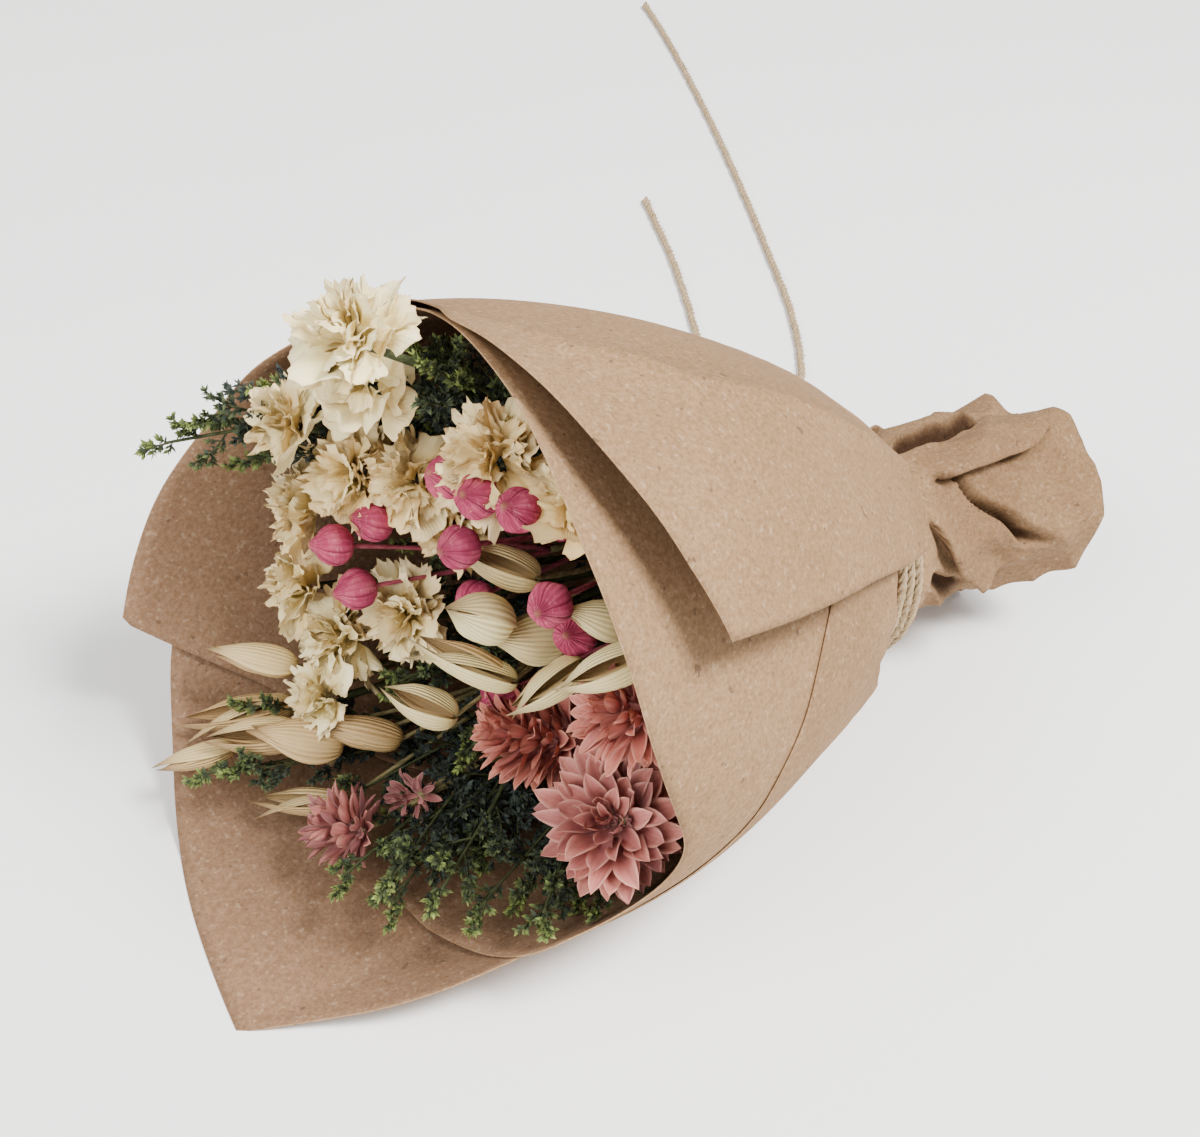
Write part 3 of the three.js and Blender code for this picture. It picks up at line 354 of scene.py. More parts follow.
def cream_material():
    n = Nodes("cream_petal")
    along, across, own = n.tone()
    base = n.ramp(along, [(0.0, (0.78, 0.62, 0.26)), (0.30, (0.84, 0.70, 0.35)), (0.70, (0.88, 0.77, 0.43)),
                          (0.94, (0.90, 0.80, 0.50)), (1.0, (0.80, 0.64, 0.36))])
    shade = n.mix(own, base, n.mix(1.0, base, (0.84, 0.68, 0.50), "MULTIPLY"))
    vein_place = n.add("ShaderNodeCombineXYZ", {"X": across, "Y": n.math("MULTIPLY", along, 0.2), "Z": own})
    waves = {"Vector": vein_place.outputs["Vector"], "Scale": 6.0, "Distortion": 2.5, "Detail": 2.0}
    veins = n.add("ShaderNodeTexWave", waves, wave_type="BANDS", bands_direction="X").outputs["Fac"]
    veined = n.mix(n.math("MULTIPLY", veins, 0.07), shade, (0.60, 0.48, 0.26))
    colour = n.tint(veined, (0.58, 0.43, 0.22), n.noise(260.0, 4.0, 0.65), 0.56, 0.78, 0.4)
    n.bump((veins, 0.00004), (n.noise(420.0, 3.0), 0.00020), (n.noise(900.0), 0.00008))
    return n.done(colour, 0.72, 0.25)


def coral_material():
    n = Nodes("coral_petal")
    along, across, own = n.tone()
    base = n.ramp(along, [(0.0, (0.20, 0.045, 0.042)), (0.3, (0.42, 0.115, 0.090)),
                          (0.7, (0.60, 0.200, 0.145)), (1.0, (0.68, 0.270, 0.185))])
    mauve = n.mix(own, base, n.mix(0.75, base, (0.42, 0.180, 0.185)))
    mauve = n.tint(mauve, (0.20, 0.075, 0.080), own, 0.75, 1.0, 0.75)
    streaks = n.noise(1.0, 3.0, 0.6, n.stretched((420.0, 900.0, 900.0)))
    mauve = n.tint(mauve, (0.30, 0.085, 0.085), streaks, 0.45, 0.7, 0.30)
    # the creased middle is darker and both edges are paler
    from_middle = n.math("ABSOLUTE", n.math("SUBTRACT", across, 0.5))
    edged = n.tint(mauve, (0.72, 0.42, 0.32), from_middle, 0.30, 0.5, 0.35)
    creased = n.tint(edged, (0.36, 0.08, 0.08), n.math("SUBTRACT", 0.12, from_middle), 0.0, 0.12, 0.35)
    colour = n.tint(creased, (0.52, 0.25, 0.18), n.noise(420.0), 0.5, 0.75, 0.35)
    n.bump((n.noise(700.0), 0.00008))
    return n.done(colour, 0.7, 0.3)


def pod_material():
    n = Nodes("pink_pod")
    along, across, own = n.tone()
    patches = n.noise(240.0, 4.0, 0.6)
    base = n.ramp(patches, [(0.3, (0.27, 0.028, 0.070)), (0.5, (0.40, 0.050, 0.110)),
                            (0.72, (0.54, 0.12, 0.17))])
    shade = n.mix(n.math("MULTIPLY", own, 0.6), base, n.mix(0.5, base, (0.44, 0.07, 0.16)))
    streaks = n.noise(1.0, 3.0, 0.6, n.stretched((1500.0, 500.0, 500.0)))
    pale = n.tint(shade, (0.66, 0.27, 0.29), streaks, 0.52, 0.8, 0.5)
    rib = n.math("SINE", n.math("MULTIPLY", across, 2 * math.pi * POD_RIBS))
    ribbed = n.tint(pale, (0.24, 0.025, 0.060), rib, 0.1, 1.0, 0.38)
    # the seams run from the tip to the stalk
    turn = n.math("FRACT", n.math("MULTIPLY", across, float(POD_SEAMS)))
    off_seam = n.math("ABSOLUTE", n.math("SUBTRACT", turn, 0.5))
    seamed = n.tint(ribbed, (0.17, 0.012, 0.035), n.math("SUBTRACT", 0.07, off_seam), 0.0, 0.07, 0.8)
    colour = n.tint(seamed, (0.52, 0.25, 0.13), along, 0.93, 0.99, 0.6)
    n.bump((patches, 0.0002), (rib, 0.00008), (n.noise(1200.0), 0.00006))
    return n.done(colour, 0.85, 0.15)


def husk_material():
    n = Nodes("straw_husk")
    along, across, own = n.tone()
    base = n.ramp(along, [(0.0, (0.62, 0.49, 0.18)), (0.30, (0.82, 0.71, 0.34)), (0.75, (0.86, 0.74, 0.38)),
                          (1.0, (0.64, 0.44, 0.20))])
    # own darkens the husk: its random tone, and painted shade on the low husks and on the inner walls
    shade = n.mix(own, base, n.mix(1.0, base, (0.66, 0.50, 0.44), "MULTIPLY"))
    # fine veins run from the stalk to the tip
    wave = n.math("SINE", n.math("MULTIPLY", across, HUSK_VEINS))
    striped = n.tint(shade, (0.40, 0.28, 0.12), wave, 0.2, 1.0, 0.38)
    colour = n.tint(striped, (0.60, 0.40, 0.20), n.noise(190.0, 4.0, 0.6), 0.52, 0.75, 0.45)
    n.bump((wave, 0.00010), (n.noise(1400.0), 0.00004))
    return n.done(colour, 0.5, 0.4)


def leaf_material():
    n = Nodes("green_leaf")
    along, _, own = n.tone()
    base = n.ramp(along, [(0.0, (0.026, 0.034, 0.036)), (0.45, (0.046, 0.060, 0.048)),
                          (0.78, (0.11, 0.145, 0.045)), (1.0, (0.27, 0.33, 0.080))])
    shade = n.mix(own, base, n.mix(0.5, base, (0.024, 0.034, 0.034)))
    colour = n.tint(shade, (0.08, 0.07, 0.025), n.noise(500.0), 0.5, 0.8, 0.35)
    n.bump((n.noise(1500.0), 0.0001))
    return n.done(colour, 0.75, 0.2)


def stem_material(name, shades):
    n = Nodes(name)
    streaks = n.noise(1.0, 4.0, 0.65, n.stretched((300.0, 1400.0, 1400.0)))
    colour = n.ramp(streaks, list(zip((0.28, 0.52, 0.78), shades)))
    n.bump((streaks, 0.0001))
    return n.done(colour, 0.7, 0.25)


def twine_material():
    n = Nodes("jute_twine")
    strands = n.noise(1.0, 4.0, 0.7, n.stretched((900.0, 900.0, 900.0)))
    base = n.ramp(strands, [(0.25, (0.19, 0.13, 0.065)), (0.5, (0.36, 0.26, 0.15)),
                            (0.8, (0.52, 0.41, 0.27))])
    colour = n.mix(n.math("MULTIPLY", n.tone()[2], 0.4), base, (0.42, 0.31, 0.19))
    n.bump((strands, 0.00025))
    return n.done(colour, 0.9, 0.15)


def floor_material():
    n = Nodes("pale_floor")
    colour = n.ramp(n.noise(3.0), [(0.3, (0.93, 0.93, 0.93)), (0.7, (0.95, 0.95, 0.95))])
    n.bump((n.noise(300.0), 0.00002))
    return n.done(colour, 0.9, 0.1)


KRAFT = kraft_material("kraft_outside", (1.0, 1.0, 1.0))
# painted shade: the side of each sheet that faces the flowers is a darker, less warm copy of the paper
KRAFT_SHADED_INSIDE = kraft_material("kraft_shaded_inside", (0.86, 0.83, 0.91))
# painted highlight: the sheets' cut edges are a paler copy of the paper
KRAFT_EDGE_HIGHLIGHT = kraft_material("kraft_edge_highlight", (1.45, 1.479, 1.5225))
CREAM_SKIN, CORAL_SKIN = cream_material(), coral_material()
PINK_SKIN, STRAW_SKIN, JUTE = pod_material(), husk_material(), twine_material()
GREEN_SKIN = leaf_material()
STRAW_STEM = stem_material("straw_stem", [(0.10, 0.085, 0.035), (0.20, 0.165, 0.07), (0.36, 0.30, 0.15)])
GREEN_STEM = stem_material("green_stem", [(0.02, 0.026, 0.010), (0.045, 0.055, 0.020), (0.10, 0.10, 0.04)])
PINK_STEM = stem_material("pink_stem", [(0.16, 0.03, 0.045), (0.30, 0.06, 0.085), (0.42, 0.13, 0.14)])


# Paper wrap: radius of its middle surface, angle 0 at the top and 90 on the near side
def wrap_radius(t):
    u = np.clip(t, 0, WRAP_LENGTH) / WRAP_LENGTH
    curved = WRAP_NECK_RADIUS + (WRAP_MOUTH_RADIUS - WRAP_NECK_RADIUS) * (u + 0.9 * u * (1 - u))
    return curved + 0.2 * np.maximum(t - WRAP_LENGTH, 0)


def flare_radius(t, angle):
    s = np.maximum(-t, 0) / 50
    near = np.exp(-((angle - 62) / 48) ** 2)
    pleats = np.sin(np.radians(7 * angle)) + 0.6 * np.sin(np.radians(4 * angle + 50))
    return WRAP_NECK_RADIUS + 2.5 * s + 10 * near * s ** 1.5 + 1.7 * np.minimum(s * 2, 1) * pleats


def place_of_tie(angle):
    return TIE_MIDDLE + TIE_TILT * np.cos(np.radians(angle - TIE_TILT_ANGLE))


def inner_radius(t, angle):
    narrow = np.exp(-((angle - 122) / 26) ** 2) * smooth(10, 26, -t) * 4.0
    return pinched(t - place_of_tie(angle), t, angle) - narrow


def pinched(from_tie, t, angle):
    opened = np.where(t < 0, flare_radius(t, angle), wrap_radius(t))
    away = np.where(from_tie < 0, smooth(5, 20, -from_tie), smooth(5, 18, from_tie))
    loose = (0.5 + 0.5 * np.cos(np.radians(angle - TIE_LOOSE_ANGLE))) ** 1.5
    tied = WRAP_NECK_RADIUS - PINCH_DEPTH + TIE_LOOSE * loose
    return tied + (opened - tied) * away


def outer_lift(t, angle):
    over_strip = LAYER_STEP * smooth(-30, 30, angle)
    standing = FRONT_FLAP_LIFT * smooth(25, 95, t) * smooth(-12, 40, angle)
    return LAYER_STEP + over_strip + standing


def crisp(turn):
    """Waves with sharp crests between 0 and 1."""
    return 1 - np.abs(np.sin(turn))


def dents(t, angle):
    """How far both sheets are pushed out at a spot: soft dents up the wrap and gathers round the neck."""
    a = np.radians(angle)
    broad = np.sin(3 * a + 0.045 * t + 0.6) * np.sin(0.052 * t + 1.1) + 0.6 * np.sin(5 * a - 0.03 * t + 2.0)
    creases = crisp(6.5 * a + 0.02 * t + 0.4) ** 2
    gathers = crisp(8.5 * a + 0.03 * t) + 0.6 * crisp(14.5 * a + 1.3 - 0.05 * t) - 0.7
    away = t - place_of_tie(angle)
    return (0.4 * broad * smooth(5, 45, t) + 0.9 * creases * smooth(4, 20, away) * (1 - smooth(30, 80, t))
            + 1.1 * gathers * np.exp(-(away / 15) ** 2))


# The sheets' edges, given as (angle, t)
INNER_RIM = [
    (-205, 60), (-150, 112), (-138, 121), (-125, 142), (-119, 152), (-110, 149), (-95, 143), (-87, 138),
    (-77, 133.6), (-65, 130.6), (-58, 126), (-45, 121), (-25, 119.5), (-12, 122.5), (2, 126), (12, 127.5),
    (24, 129.5), (36, 130), (50, 127), (68, 120.5), (84, 111), (97, 102), (108, 103), (120, 112.5),
    (129, 118), (139, 119.5), (150, 120.5), (160, 121), (172, 121.5)]
INNER_TAIL = [
    (-205, -46), (-150, -48), (-90, -50), (-45, -54), (-10, -53), (30, -54), (50, -52), (65, -49),
    (84, -50), (98, -49), (112, -38), (128, -40), (150, -46), (172, -46)]
OUTER_RIM = [
    (-312, 60), (-302, 65.6), (-294, 70.5), (-280, 74), (-268, 79.7), (-259, 80), (-240, 99), (-223, 119.5),
    (-219, 128.6), (-213, 138.4), (-205, 148.5), (-196, 162.9), (-182, 159.3), (-170, 156), (-155, 151),
    (-141, 146), (-125, 142), (-100, 131), (-70, 122), (-40, 117), (-18, 119.5), (-9, 126), (-4, 125.5),
    (8, 127), (16, 126), (25, 125), (30, 122.5), (36.5, 118.5), (42, 116), (48, 113), (58, 107.5)]
OUTER_TAIL = [
    (-312, 26), (-303, 30), (-288, 45), (-270, 34), (-250, 24), (-225, 18), (-205, 14), (-170, 9),
    (-125, 5), (-112, 7), (-99, 7), (-85, 5), (-40, 5), (-20, 0), (0, -1), (22, 4.5), (39, 7.5),
    (54, 13), (58, 15)]
# the angles at which these edges have corners
INNER_RIM_CORNERS = (-205, -119, 172)
INNER_TAIL_CORNERS = (-205, 150)
OUTER_RIM_CORNERS = (-312, -196, 58)
OUTER_TAIL_CORNERS = (-312, 58)
# the front flap is creased from its rim's top to the neck, given as (t, angle)
FLAP_CREASE = [(0, 24), (44, 22.5), (75, 19.5), (94, 17), (102, 10.5), (109.5, 4), (113, -8), (118, -17)]
CREASE_HEIGHT = 3.1


def read(pairs, x):
    return np.interp(x, [pair[0] for pair in pairs], [pair[1] for pair in pairs])


def cut_edge(pairs, angle, corners):
    """The edge of a sheet as one smooth line that keeps its corners."""
    near_corner = np.min([np.abs(angle - corner) for corner in corners], axis=0)
    reach = 9 * np.clip(near_corner / 14, 0.02, 1)
    steps = np.linspace(-1, 1, 9)
    weights = 1.1 - np.abs(steps)
    return sum(w * read(pairs, angle + reach * k) for k, w in zip(steps, weights)) / weights.sum()


def round_axis(t, angle, radius):
    """Points round the wrap's axis."""
    turn = np.radians(angle)
    return place(t, radius * np.sin(turn), radius * np.cos(turn))


def sheet(t, angle, radius, floor, dark):
    """A sheet's shape, pressed flat where it would pass below the floor height."""
    points = round_axis(t, angle, radius)
    points[..., 2] = np.maximum(points[..., 2], floor)
    shape = Shape()
    shape.grid(points, tones(0, 0, dark))
    return shape


# Folds pressed into the open end of the inner sheet: the fold's line as (t, angle), how wide and how high it
# is, and the side that lies on top, +1 for the smaller angles and -1 for the larger ones
FOLDS = [
    ([(-46, 20), (-24, 23), (-9, 25)], 9, 3.0, 1),
    ([(-30, 97), (-22, 98), (-11, 82), (-2, 50)], 9, 3.0, 1),
    ([(-50, -62), (-20, -55), (-8, -50)], 8, 1.2, 1),
    ([(-52, -120), (-26, -112), (-8, -118)], 8, 1.2, -1),
    ([(-42, 128), (-22, 120), (-8, 124)], 7, 1.0, 1)]
FOLD_OVERLAP = 2.6
# Pockets are narrow deep gaps between folds: the line, half width in degrees, depth, and how much higher
# the wall on the side of the smaller angles stands
POCKETS = [
    ([(-42, -18), (-34, -13), (-23, -8), (-4, -6)], 4.3, 5.5, 2.2),
    ([(-36, 73), (-29, 69), (-20, 49), (-14, 29), (-10, 22)], 4.8, 3.7, 0.0),
    ([(-22, 112), (-12, 104), (-2, 84)], 5.0, 4.0, 0.0)]
# FLOWER_SHADE and CREASE_SHADE are painted shade, and FLAP_SHADE is a painted shadow
FLARE_SHADE = 0.27         # how dark the inner sheet is beyond the tie,
FLOWER_SHADE = 0.30        # among the flowers
FLAP_SHADE = 0.20          # and close under the front flap's edge
CREASE_SHADE = 0.20        # how dark the front flap is beyond its crease
STEM_ROOM = 17.3           # the stems keep the paper out to this radius
FLARE_ROWS = 58
NECK_ROWS = 16
MOUTH_ROWS = 35
OUTER_ROWS = 54
OUTER_COLUMNS = 282
NECK_FROM, NECK_TO = -6, 20    # the inner sheet's rows are spaced anew from these two places


def folded(t, angle):
    """Where the folds move a spot of the inner sheet: its new angle, how far it is lifted, and how dark it
    is, which is painted shade in the folds and pockets and a darker open end beyond the tie.
    """
    moved, lift = angle.copy(), np.zeros_like(angle)
    dark = FLARE_SHADE * smooth(0, 12, -t)
    for line, width, height, top in FOLDS:
        low, high = line[0][0], line[-1][0]
        strength = smooth(low - 2, low + 9, t) * (1 - smooth(high - 4, high + 3, t))
        x = (angle - read(line, t)) / width
        bump = x * np.exp(-x ** 2)
        moved -= FOLD_OVERLAP * width * bump * strength
        lift -= top * 2.2 * height * bump * strength
        # painted shade along the crease of the larger folds
        dark = dark + 0.75 * strength * smooth(1.0, 2.6, height) * np.exp(-((x + 0.1 * top) / 0.30) ** 2)
    for line, width, depth, wall in POCKETS:
        low, high = line[0][0], line[-1][0]
        strength = smooth(low - 3, low + 8, t) * (1 - smooth(high - 5, high + 3, t))
        x = (angle - read(line, t)) / (width * (0.3 + 0.7 * strength))
        lift -= depth * strength * np.exp(-x ** 4)
        lift += (1.0 - 0.3 * wall) * strength * np.exp(-((x - 1.5) / 0.5) ** 2)
        lift += (1.0 + wall) * strength * np.exp(-((x + 1.6) / 0.6) ** 2)
        # painted shade deep in the pocket
        dark = dark + 0.97 * strength * np.exp(-((x + 0.15 * wall) / (0.85 + 0.12 * wall)) ** 4)
    return moved, lift, np.clip(dark, 0, 1)


def crumples(t, angle):
    """Flat facets with crisp edges between them, as handled paper has, round the open end."""
    a = np.radians(angle)
    facets = (crisp(2.5 * a + 0.09 * t + 0.4) + crisp(4.5 * a - 0.13 * t + 1.9)
              + 0.7 * crisp(6.5 * a + 0.21 * t) - 0.5 * crisp(1.5 * a + 0.17 * t + 2.2))
    return 1.5 * (facets - 0.8) * smooth(4, 20, -t)


def inner_sheet():
    angle = np.concatenate([np.arange(-205, -50, 1.7), np.arange(-50, 135, 0.8), np.arange(135, 172.1, 1.7)])
    angle = angle[None, :]
    flare = np.linspace(0, 1, FLARE_ROWS)[:, None]
    neck = np.linspace(0, 1, NECK_ROWS + 1)[1:, None]
    mouth = np.linspace(0, 1, MOUTH_ROWS + 1)[1:, None]
    tail = cut_edge(INNER_TAIL, angle, INNER_TAIL_CORNERS)
    rim = cut_edge(INNER_RIM, angle, INNER_RIM_CORNERS)
    t = np.concatenate([tail + (NECK_FROM - tail) * flare,
                        NECK_FROM + (NECK_TO - NECK_FROM) * neck + 0 * angle,
                        NECK_TO + (rim - NECK_TO) * mouth])
    # painted shade deep among the flowers, and a painted shadow close under the front flap's edge
    inside = FLOWER_SHADE * smooth(112, 90, t) * smooth(40, 60, t) * smooth(-20, -50, angle)
    flap_edge = cut_edge(OUTER_RIM, angle, OUTER_RIM_CORNERS)
    under = FLAP_SHADE * smooth(9, -1, t - flap_edge) * smooth(10, 25, angle) * smooth(66, 57, angle)
    shaded = inside + under * smooth(20, 45, t)
    angle, lift, dark = folded(t, np.broadcast_to(angle, t.shape))
    radius = np.maximum(inner_radius(t, angle) + dents(t, angle) + crumples(t, angle) + lift, STEM_ROOM)
    # the last part lies on the sheet's own beginning
    on_itself = smooth(140, 156, angle)
    return sheet(t, angle, radius - 0.7 * on_itself, INNER_FLOOR + 0.5 * on_itself,
                 np.minimum(dark + shaded, 1))


def outer_sheet():
    angle = np.linspace(58, -306, OUTER_COLUMNS)[None, :]
    share = np.linspace(0, 1, OUTER_ROWS)[:, None]
    tail = cut_edge(OUTER_TAIL, angle, OUTER_TAIL_CORNERS)
    rim = cut_edge(OUTER_RIM, angle, OUTER_RIM_CORNERS)
    t = tail + (rim - tail) * share ** 1.25
    # the flap's free edge runs a little higher than straight
    angle = angle - 3.0 * smooth(18, 60, t) * smooth(30, 58, angle)
    crease = CREASE_HEIGHT * np.exp(-np.abs(angle - read(FLAP_CREASE, t)) / 7) * smooth(5, 40, t)
    crease = crease * (1 - 0.8 * smooth(98, 114, t))
    radius = wrap_radius(t) + outer_lift(t, angle) + dents(t, angle) + crease * smooth(-60, -25, angle)
    radius = radius - 1.4 * smooth(15, 45, t) * smooth(-190, -225, angle)
    # at the back the tail is drawn in with the inner sheet, beside the tie
    drawn_in = (1 - smooth(0, 22, t - tail)) * smooth(-50, -70, angle) * smooth(-250, -225, angle)
    snug = np.minimum(inner_radius(t, angle) + dents(t, angle) + 1.0, radius)
    radius = radius + drawn_in * (snug - radius)
    # the two sheets nearly touch at the top of the mouth
    radius = radius - 1.4 * np.exp(-((angle + 16) / 12) ** 2) * smooth(70, 108, t)
    # painted shade on the front flap beyond its crease, fading away from it
    beyond = (read(FLAP_CREASE, t) - angle) * smooth(-70, -40, angle)
    fading = np.exp(-np.maximum(beyond, 0) / 16) * smooth(10, 40, t)
    return sheet(t, angle, radius, OUTER_FLOOR, CREASE_SHADE * smooth(-1.5, 1.5, beyond) * fading)


def keep_inside(points, room):
    """Presses whatever would cross the inner sheet flat against its inside."""
    t, side, up = place_in_wrap(points)
    angle = np.degrees(np.arctan2(side, up))
    angle = np.where(angle > 150, angle - 360, angle)
    reach = np.hypot(side, up)
    most = inner_radius(t, angle) + dents(t, angle) - room
    inside = (t > -20) & (t < read(INNER_RIM, angle) + 1) & (reach > most)
    share = np.where(inside, most / np.maximum(reach, 1e-6), 1.0)
    kept = place(t, side * share, up * share)
    lifted = np.maximum(kept[:, 2], INNER_FLOOR + room)
    kept[:, 2] = np.where(inside | ((t > 0) & (t < 110)), lifted, kept[:, 2])
    return kept


# Twine: turns round the pinched neck, a knot on the far side, and two free ends lying on the table
def on_table(*spots):
    return [(x, y, ON_TABLE) for x, y in spots]


LONG_END = [
    (-1.1, -23.7, 29), (-3, -29, 23), (-7, -35, 14), (-13, -42, 6), (-22, -50, 1.9),
    *on_table((-34, -60), (-48, -71), (-63, -84), (-75, -99), (-87, -118), (-98, -139), (-110, -162)),
    *on_table((-122, -186), (-134, -211), (-146, -237), (-157, -262), (-166, -284), (-173, -303))]
SHORT_END = [
    (2.9, -23.9, 28.5), (6, -31, 22), (5, -40, 12), (2.5, -45.5, 7.8), (-1, -51, 4.5), (-9, -62, 1.5),
    *on_table((-18, -73), (-28, -85), (-38, -98), (-47, -111), (-55, -125), (-63, -140), (-71, -156)),
    *on_table((-78, -172), (-84.5, -187))]
PLIES = 3
PLY_RADIUS = 0.56
LAY_LENGTH = 6.5
TWINE_STEP = 0.85
FUZZ_STEP = 1.1            # one loose fibre for each length like this
FUZZ_RADII = (0.09, 0.07, 0.03)
TURN_RISE = TWINE + 0.35   # each turn lies this much further along the wrap
TURN_POINTS = 46
HALF_LOOP_LENGTH = 3.8     # the knot is two loops across each other
HALF_LOOP_WIDTH = 2.3


def evenly(path, step):
    """The same path with its points evenly apart."""
    run = np.concatenate([[0], np.cumsum(np.linalg.norm(np.diff(path, axis=0), axis=1))])
    where = np.linspace(0, run[-1], max(int(round(run[-1] / step)), 2) + 1)
    return np.stack([np.interp(where, run, path[:, k]) for k in range(3)], axis=1), run[-1]


def twine(shape, path, fray=0.0):
    """Three twisted plies along a path, with loose fibres standing off them."""
    path, length = evenly(path, TWINE_STEP)
    ahead, across, upward = frames_along(path)
    run = np.linspace(0, length, len(path))
    open_end = 1 + fray * smooth(length - 6, length, run)
    for ply in range(PLIES):
        turn = 2 * math.pi * (run / LAY_LENGTH + ply / PLIES)
        aside = (TWINE / 2 - PLY_RADIUS) * open_end * (1 + 0.12 * np.sin(run * 0.9 + ply))
        middle = path + aside[:, None] * (np.cos(turn)[:, None] * across + np.sin(turn)[:, None] * upward)
        thick = PLY_RADIUS * (1 + 0.12 * np.sin(run * 0.37 + 2.1 * ply) + 0.08 * np.sin(run * 1.3 + ply))
        middle[:, 2] = np.maximum(middle[:, 2], thick + 0.04)
        shape.tube(middle, thick, 6, 0.3 + 0.3 * ply)
    for k in range(int(length / FUZZ_STEP)):
        at = int(rng.integers(1, len(path) - 1))
        turn = rng.uniform(0, 2 * math.pi)
        out = towards(across[at], upward[at], turn)
        lean = ahead[at] * rng.uniform(0.5, 1.6) * rng.choice([-1, 1])
        root = path[at] + out * TWINE * 0.4
        reach = rng.uniform(0.4, 1.1)
        hair = [root, root + (out * 0.5 + lean * 0.6) * reach, root + (out * 0.75 + lean * 1.6) * reach]
        if min(point[2] for point in hair) > 0.1:
            shape.tube(hair, FUZZ_RADII, 3, 0.9)


def twine_end(name, node, route):
    path = curve(route, 12 * len(route))
    shape = Shape()
    twine(shape, path, fray=0.5)
    piece = stand_for(shape.make(name, JUTE), node)


def twine_tie():
    shape = Shape()
    share = np.linspace(0, TWINE_TURNS, TURN_POINTS * TWINE_TURNS)
    angle = KNOT_ANGLE + 360 * share
    t = TURN_RISE * (share - TWINE_TURNS / 2) + place_of_tie(angle)
    on_paper = inner_radius(t, (angle + 205) % 360 - 205) + TWINE / 2 + 0.5
    twine(shape, round_axis(t, angle, np.maximum(TWINE_TURN_RADIUS, on_paper)))
    for tilt, reach in ((0.2, KNOT_REACH), (1.5, KNOT_REACH + 0.9)):
        turn = np.linspace(0, 2 * math.pi * 0.9, 40)
        long, short = HALF_LOOP_LENGTH * np.cos(turn), HALF_LOOP_WIDTH * np.sin(turn)
        aside = long * math.sin(tilt) + short * math.cos(tilt)
        twine(shape, round_axis(long * math.cos(tilt) - short * math.sin(tilt),
                                KNOT_ANGLE + np.degrees(aside / reach), reach + 0.7 * np.sin(2 * turn)))
    return shape


twine_end("twine_long", "twine_end_long", LONG_END)
twine_end("twine_short", "twine_end_short", SHORT_END)
stand_for(twine_tie().make("twine_turns", JUTE), "twine_tie")
for sheet_shape, node in ((inner_sheet(), "paper_inner_sheet"), (outer_sheet(), "paper_outer_sheet")):
    sides = [KRAFT, KRAFT_SHADED_INSIDE] if "outer" in node else [KRAFT_SHADED_INSIDE, KRAFT]
    piece = sheet_shape.make(node.replace("paper", "kraft"), sides + [KRAFT_EDGE_HIGHLIGHT], SHEET)
    stand_for(piece, node)


# Plants. Main stems lie in two rings of lanes through the neck, so that they don't cross there.
LANES = 20
OUTER_LANE_RADIUS = 15.6
INNER_LANE_RADIUS = 12.9
STEM_RADIUS = 1.1
FORK_RADIUS = 0.8          # of a main stem at its upper end
STALK_RADIUS = 0.5         # of a stalk at its upper end
used_lanes = set()


def main_stem(end):
    """Points from the cut end inside the flare, through the neck, to a fork or a flower's back."""
    t, side, up = place_in_wrap(end)
    wanted_ring = INNER_LANE_RADIUS if math.hypot(side, up) < 26 else OUTER_LANE_RADIUS
    lanes = []
    for ring in (OUTER_LANE_RADIUS, INNER_LANE_RADIUS):
        for lane in range(LANES):
            turn = 2 * math.pi * (lane + 0.5) / LANES
            off = turn - math.atan2(side, up)
            cost = abs(math.atan2(math.sin(off), math.cos(off))) * 10 + abs(ring - wanted_ring)
            if (ring, lane) not in used_lanes:
                lanes.append((cost, ring, lane, turn))
    _, ring, lane, turn = min(lanes)
    used_lanes.add((ring, lane))
    lane_side, lane_up = ring * math.sin(turn), ring * math.cos(turn)
    middle_t = 8 + 0.5 * (t - 8)
    bend = place(middle_t, lane_side + 0.42 * (side - lane_side), lane_up + 0.42 * (up - lane_up))
    cut = place(rng.uniform(-44, -36), lane_side, lane_up)
    return np.array([cut, place(-8, lane_side, lane_up), place(8, lane_side, lane_up), bend, end])


def stem_tube(shape, points, root_radius, tip_radius, sides=7, count=30):
    path = curve(points, count)
    run = np.linspace(0, 1, count)
    radii = root_radius + (tip_radius - root_radius) * run
    knots = 1 + 0.10 * np.sin(run * 23 + points[0][1]) + 0.05 * np.sin(run * 61)
    shape.tube(path, radii * knots, sides, rng.uniform(0.2, 0.8))
    return path


# Cream flowers, given as place, facing, reach, number of fine and of broad petals, and how tan they are.
# Fine petals are narrow, much folded and jagged; broad ones lie outside them in soft folds.
CREAM = [
    ((139, -20.5, 60.6), (0.6, -0.2, 0.75), 11.3, 30, 8, 0.05),
    ((130, -26, 44), (0.8, 0.1, 0.6), 9.8, 10, 13, 0.15),
    ((132, -45.5, 25), (0.75, -0.5, 0.4), 10.5, 36, 3, 0.35),
    ((124, -33, 19), (0.9, 0, 0.4), 11.5, 40, 0, 0.45),
    ((121, -18, 26), (0.9, 0.2, 0.4), 9.5, 36, 4, 0.6),
    ((124, -46.5, 1.5), (0.8, -0.5, 0.2), 11, 42, 0, 0.4),
    ((124, -43, -16), (0.8, -0.5, 0.1), 11, 42, 0, 0.3),
    ((122, -28, -21), (0.9, 0.1, 0), 11, 42, 0, 0.1),
    ((126, -25, -34), (0.85, -0.3, -0.1), 10.5, 38, 3, 0.0),
    ((114, -18.5, -9.5), (0.9, 0.2, 0.1), 10.5, 40, 0, 0.3),
    ((122, 4.6, 46.8), (0.75, 0.1, 0.65), 11, 40, 0, 0.6),
    ((111, -13.5, 17), (0.9, 0.1, 0.3), 9.5, 30, 0, 0.8),
    ((116, 22, 47), (0.8, 0.1, 0.6), 9, 10, 8, 0.7)]
FAN_ROWS = 10
FAN_COLUMNS = 21


def petal_grid(rows, columns, start=0.0):
    """How far up a petal its rows lie, from start to 1, and how far across its columns, from -1 to 1."""
    return np.linspace(start, 1, rows)[:, None], np.linspace(-1, 1, columns)[None, :]


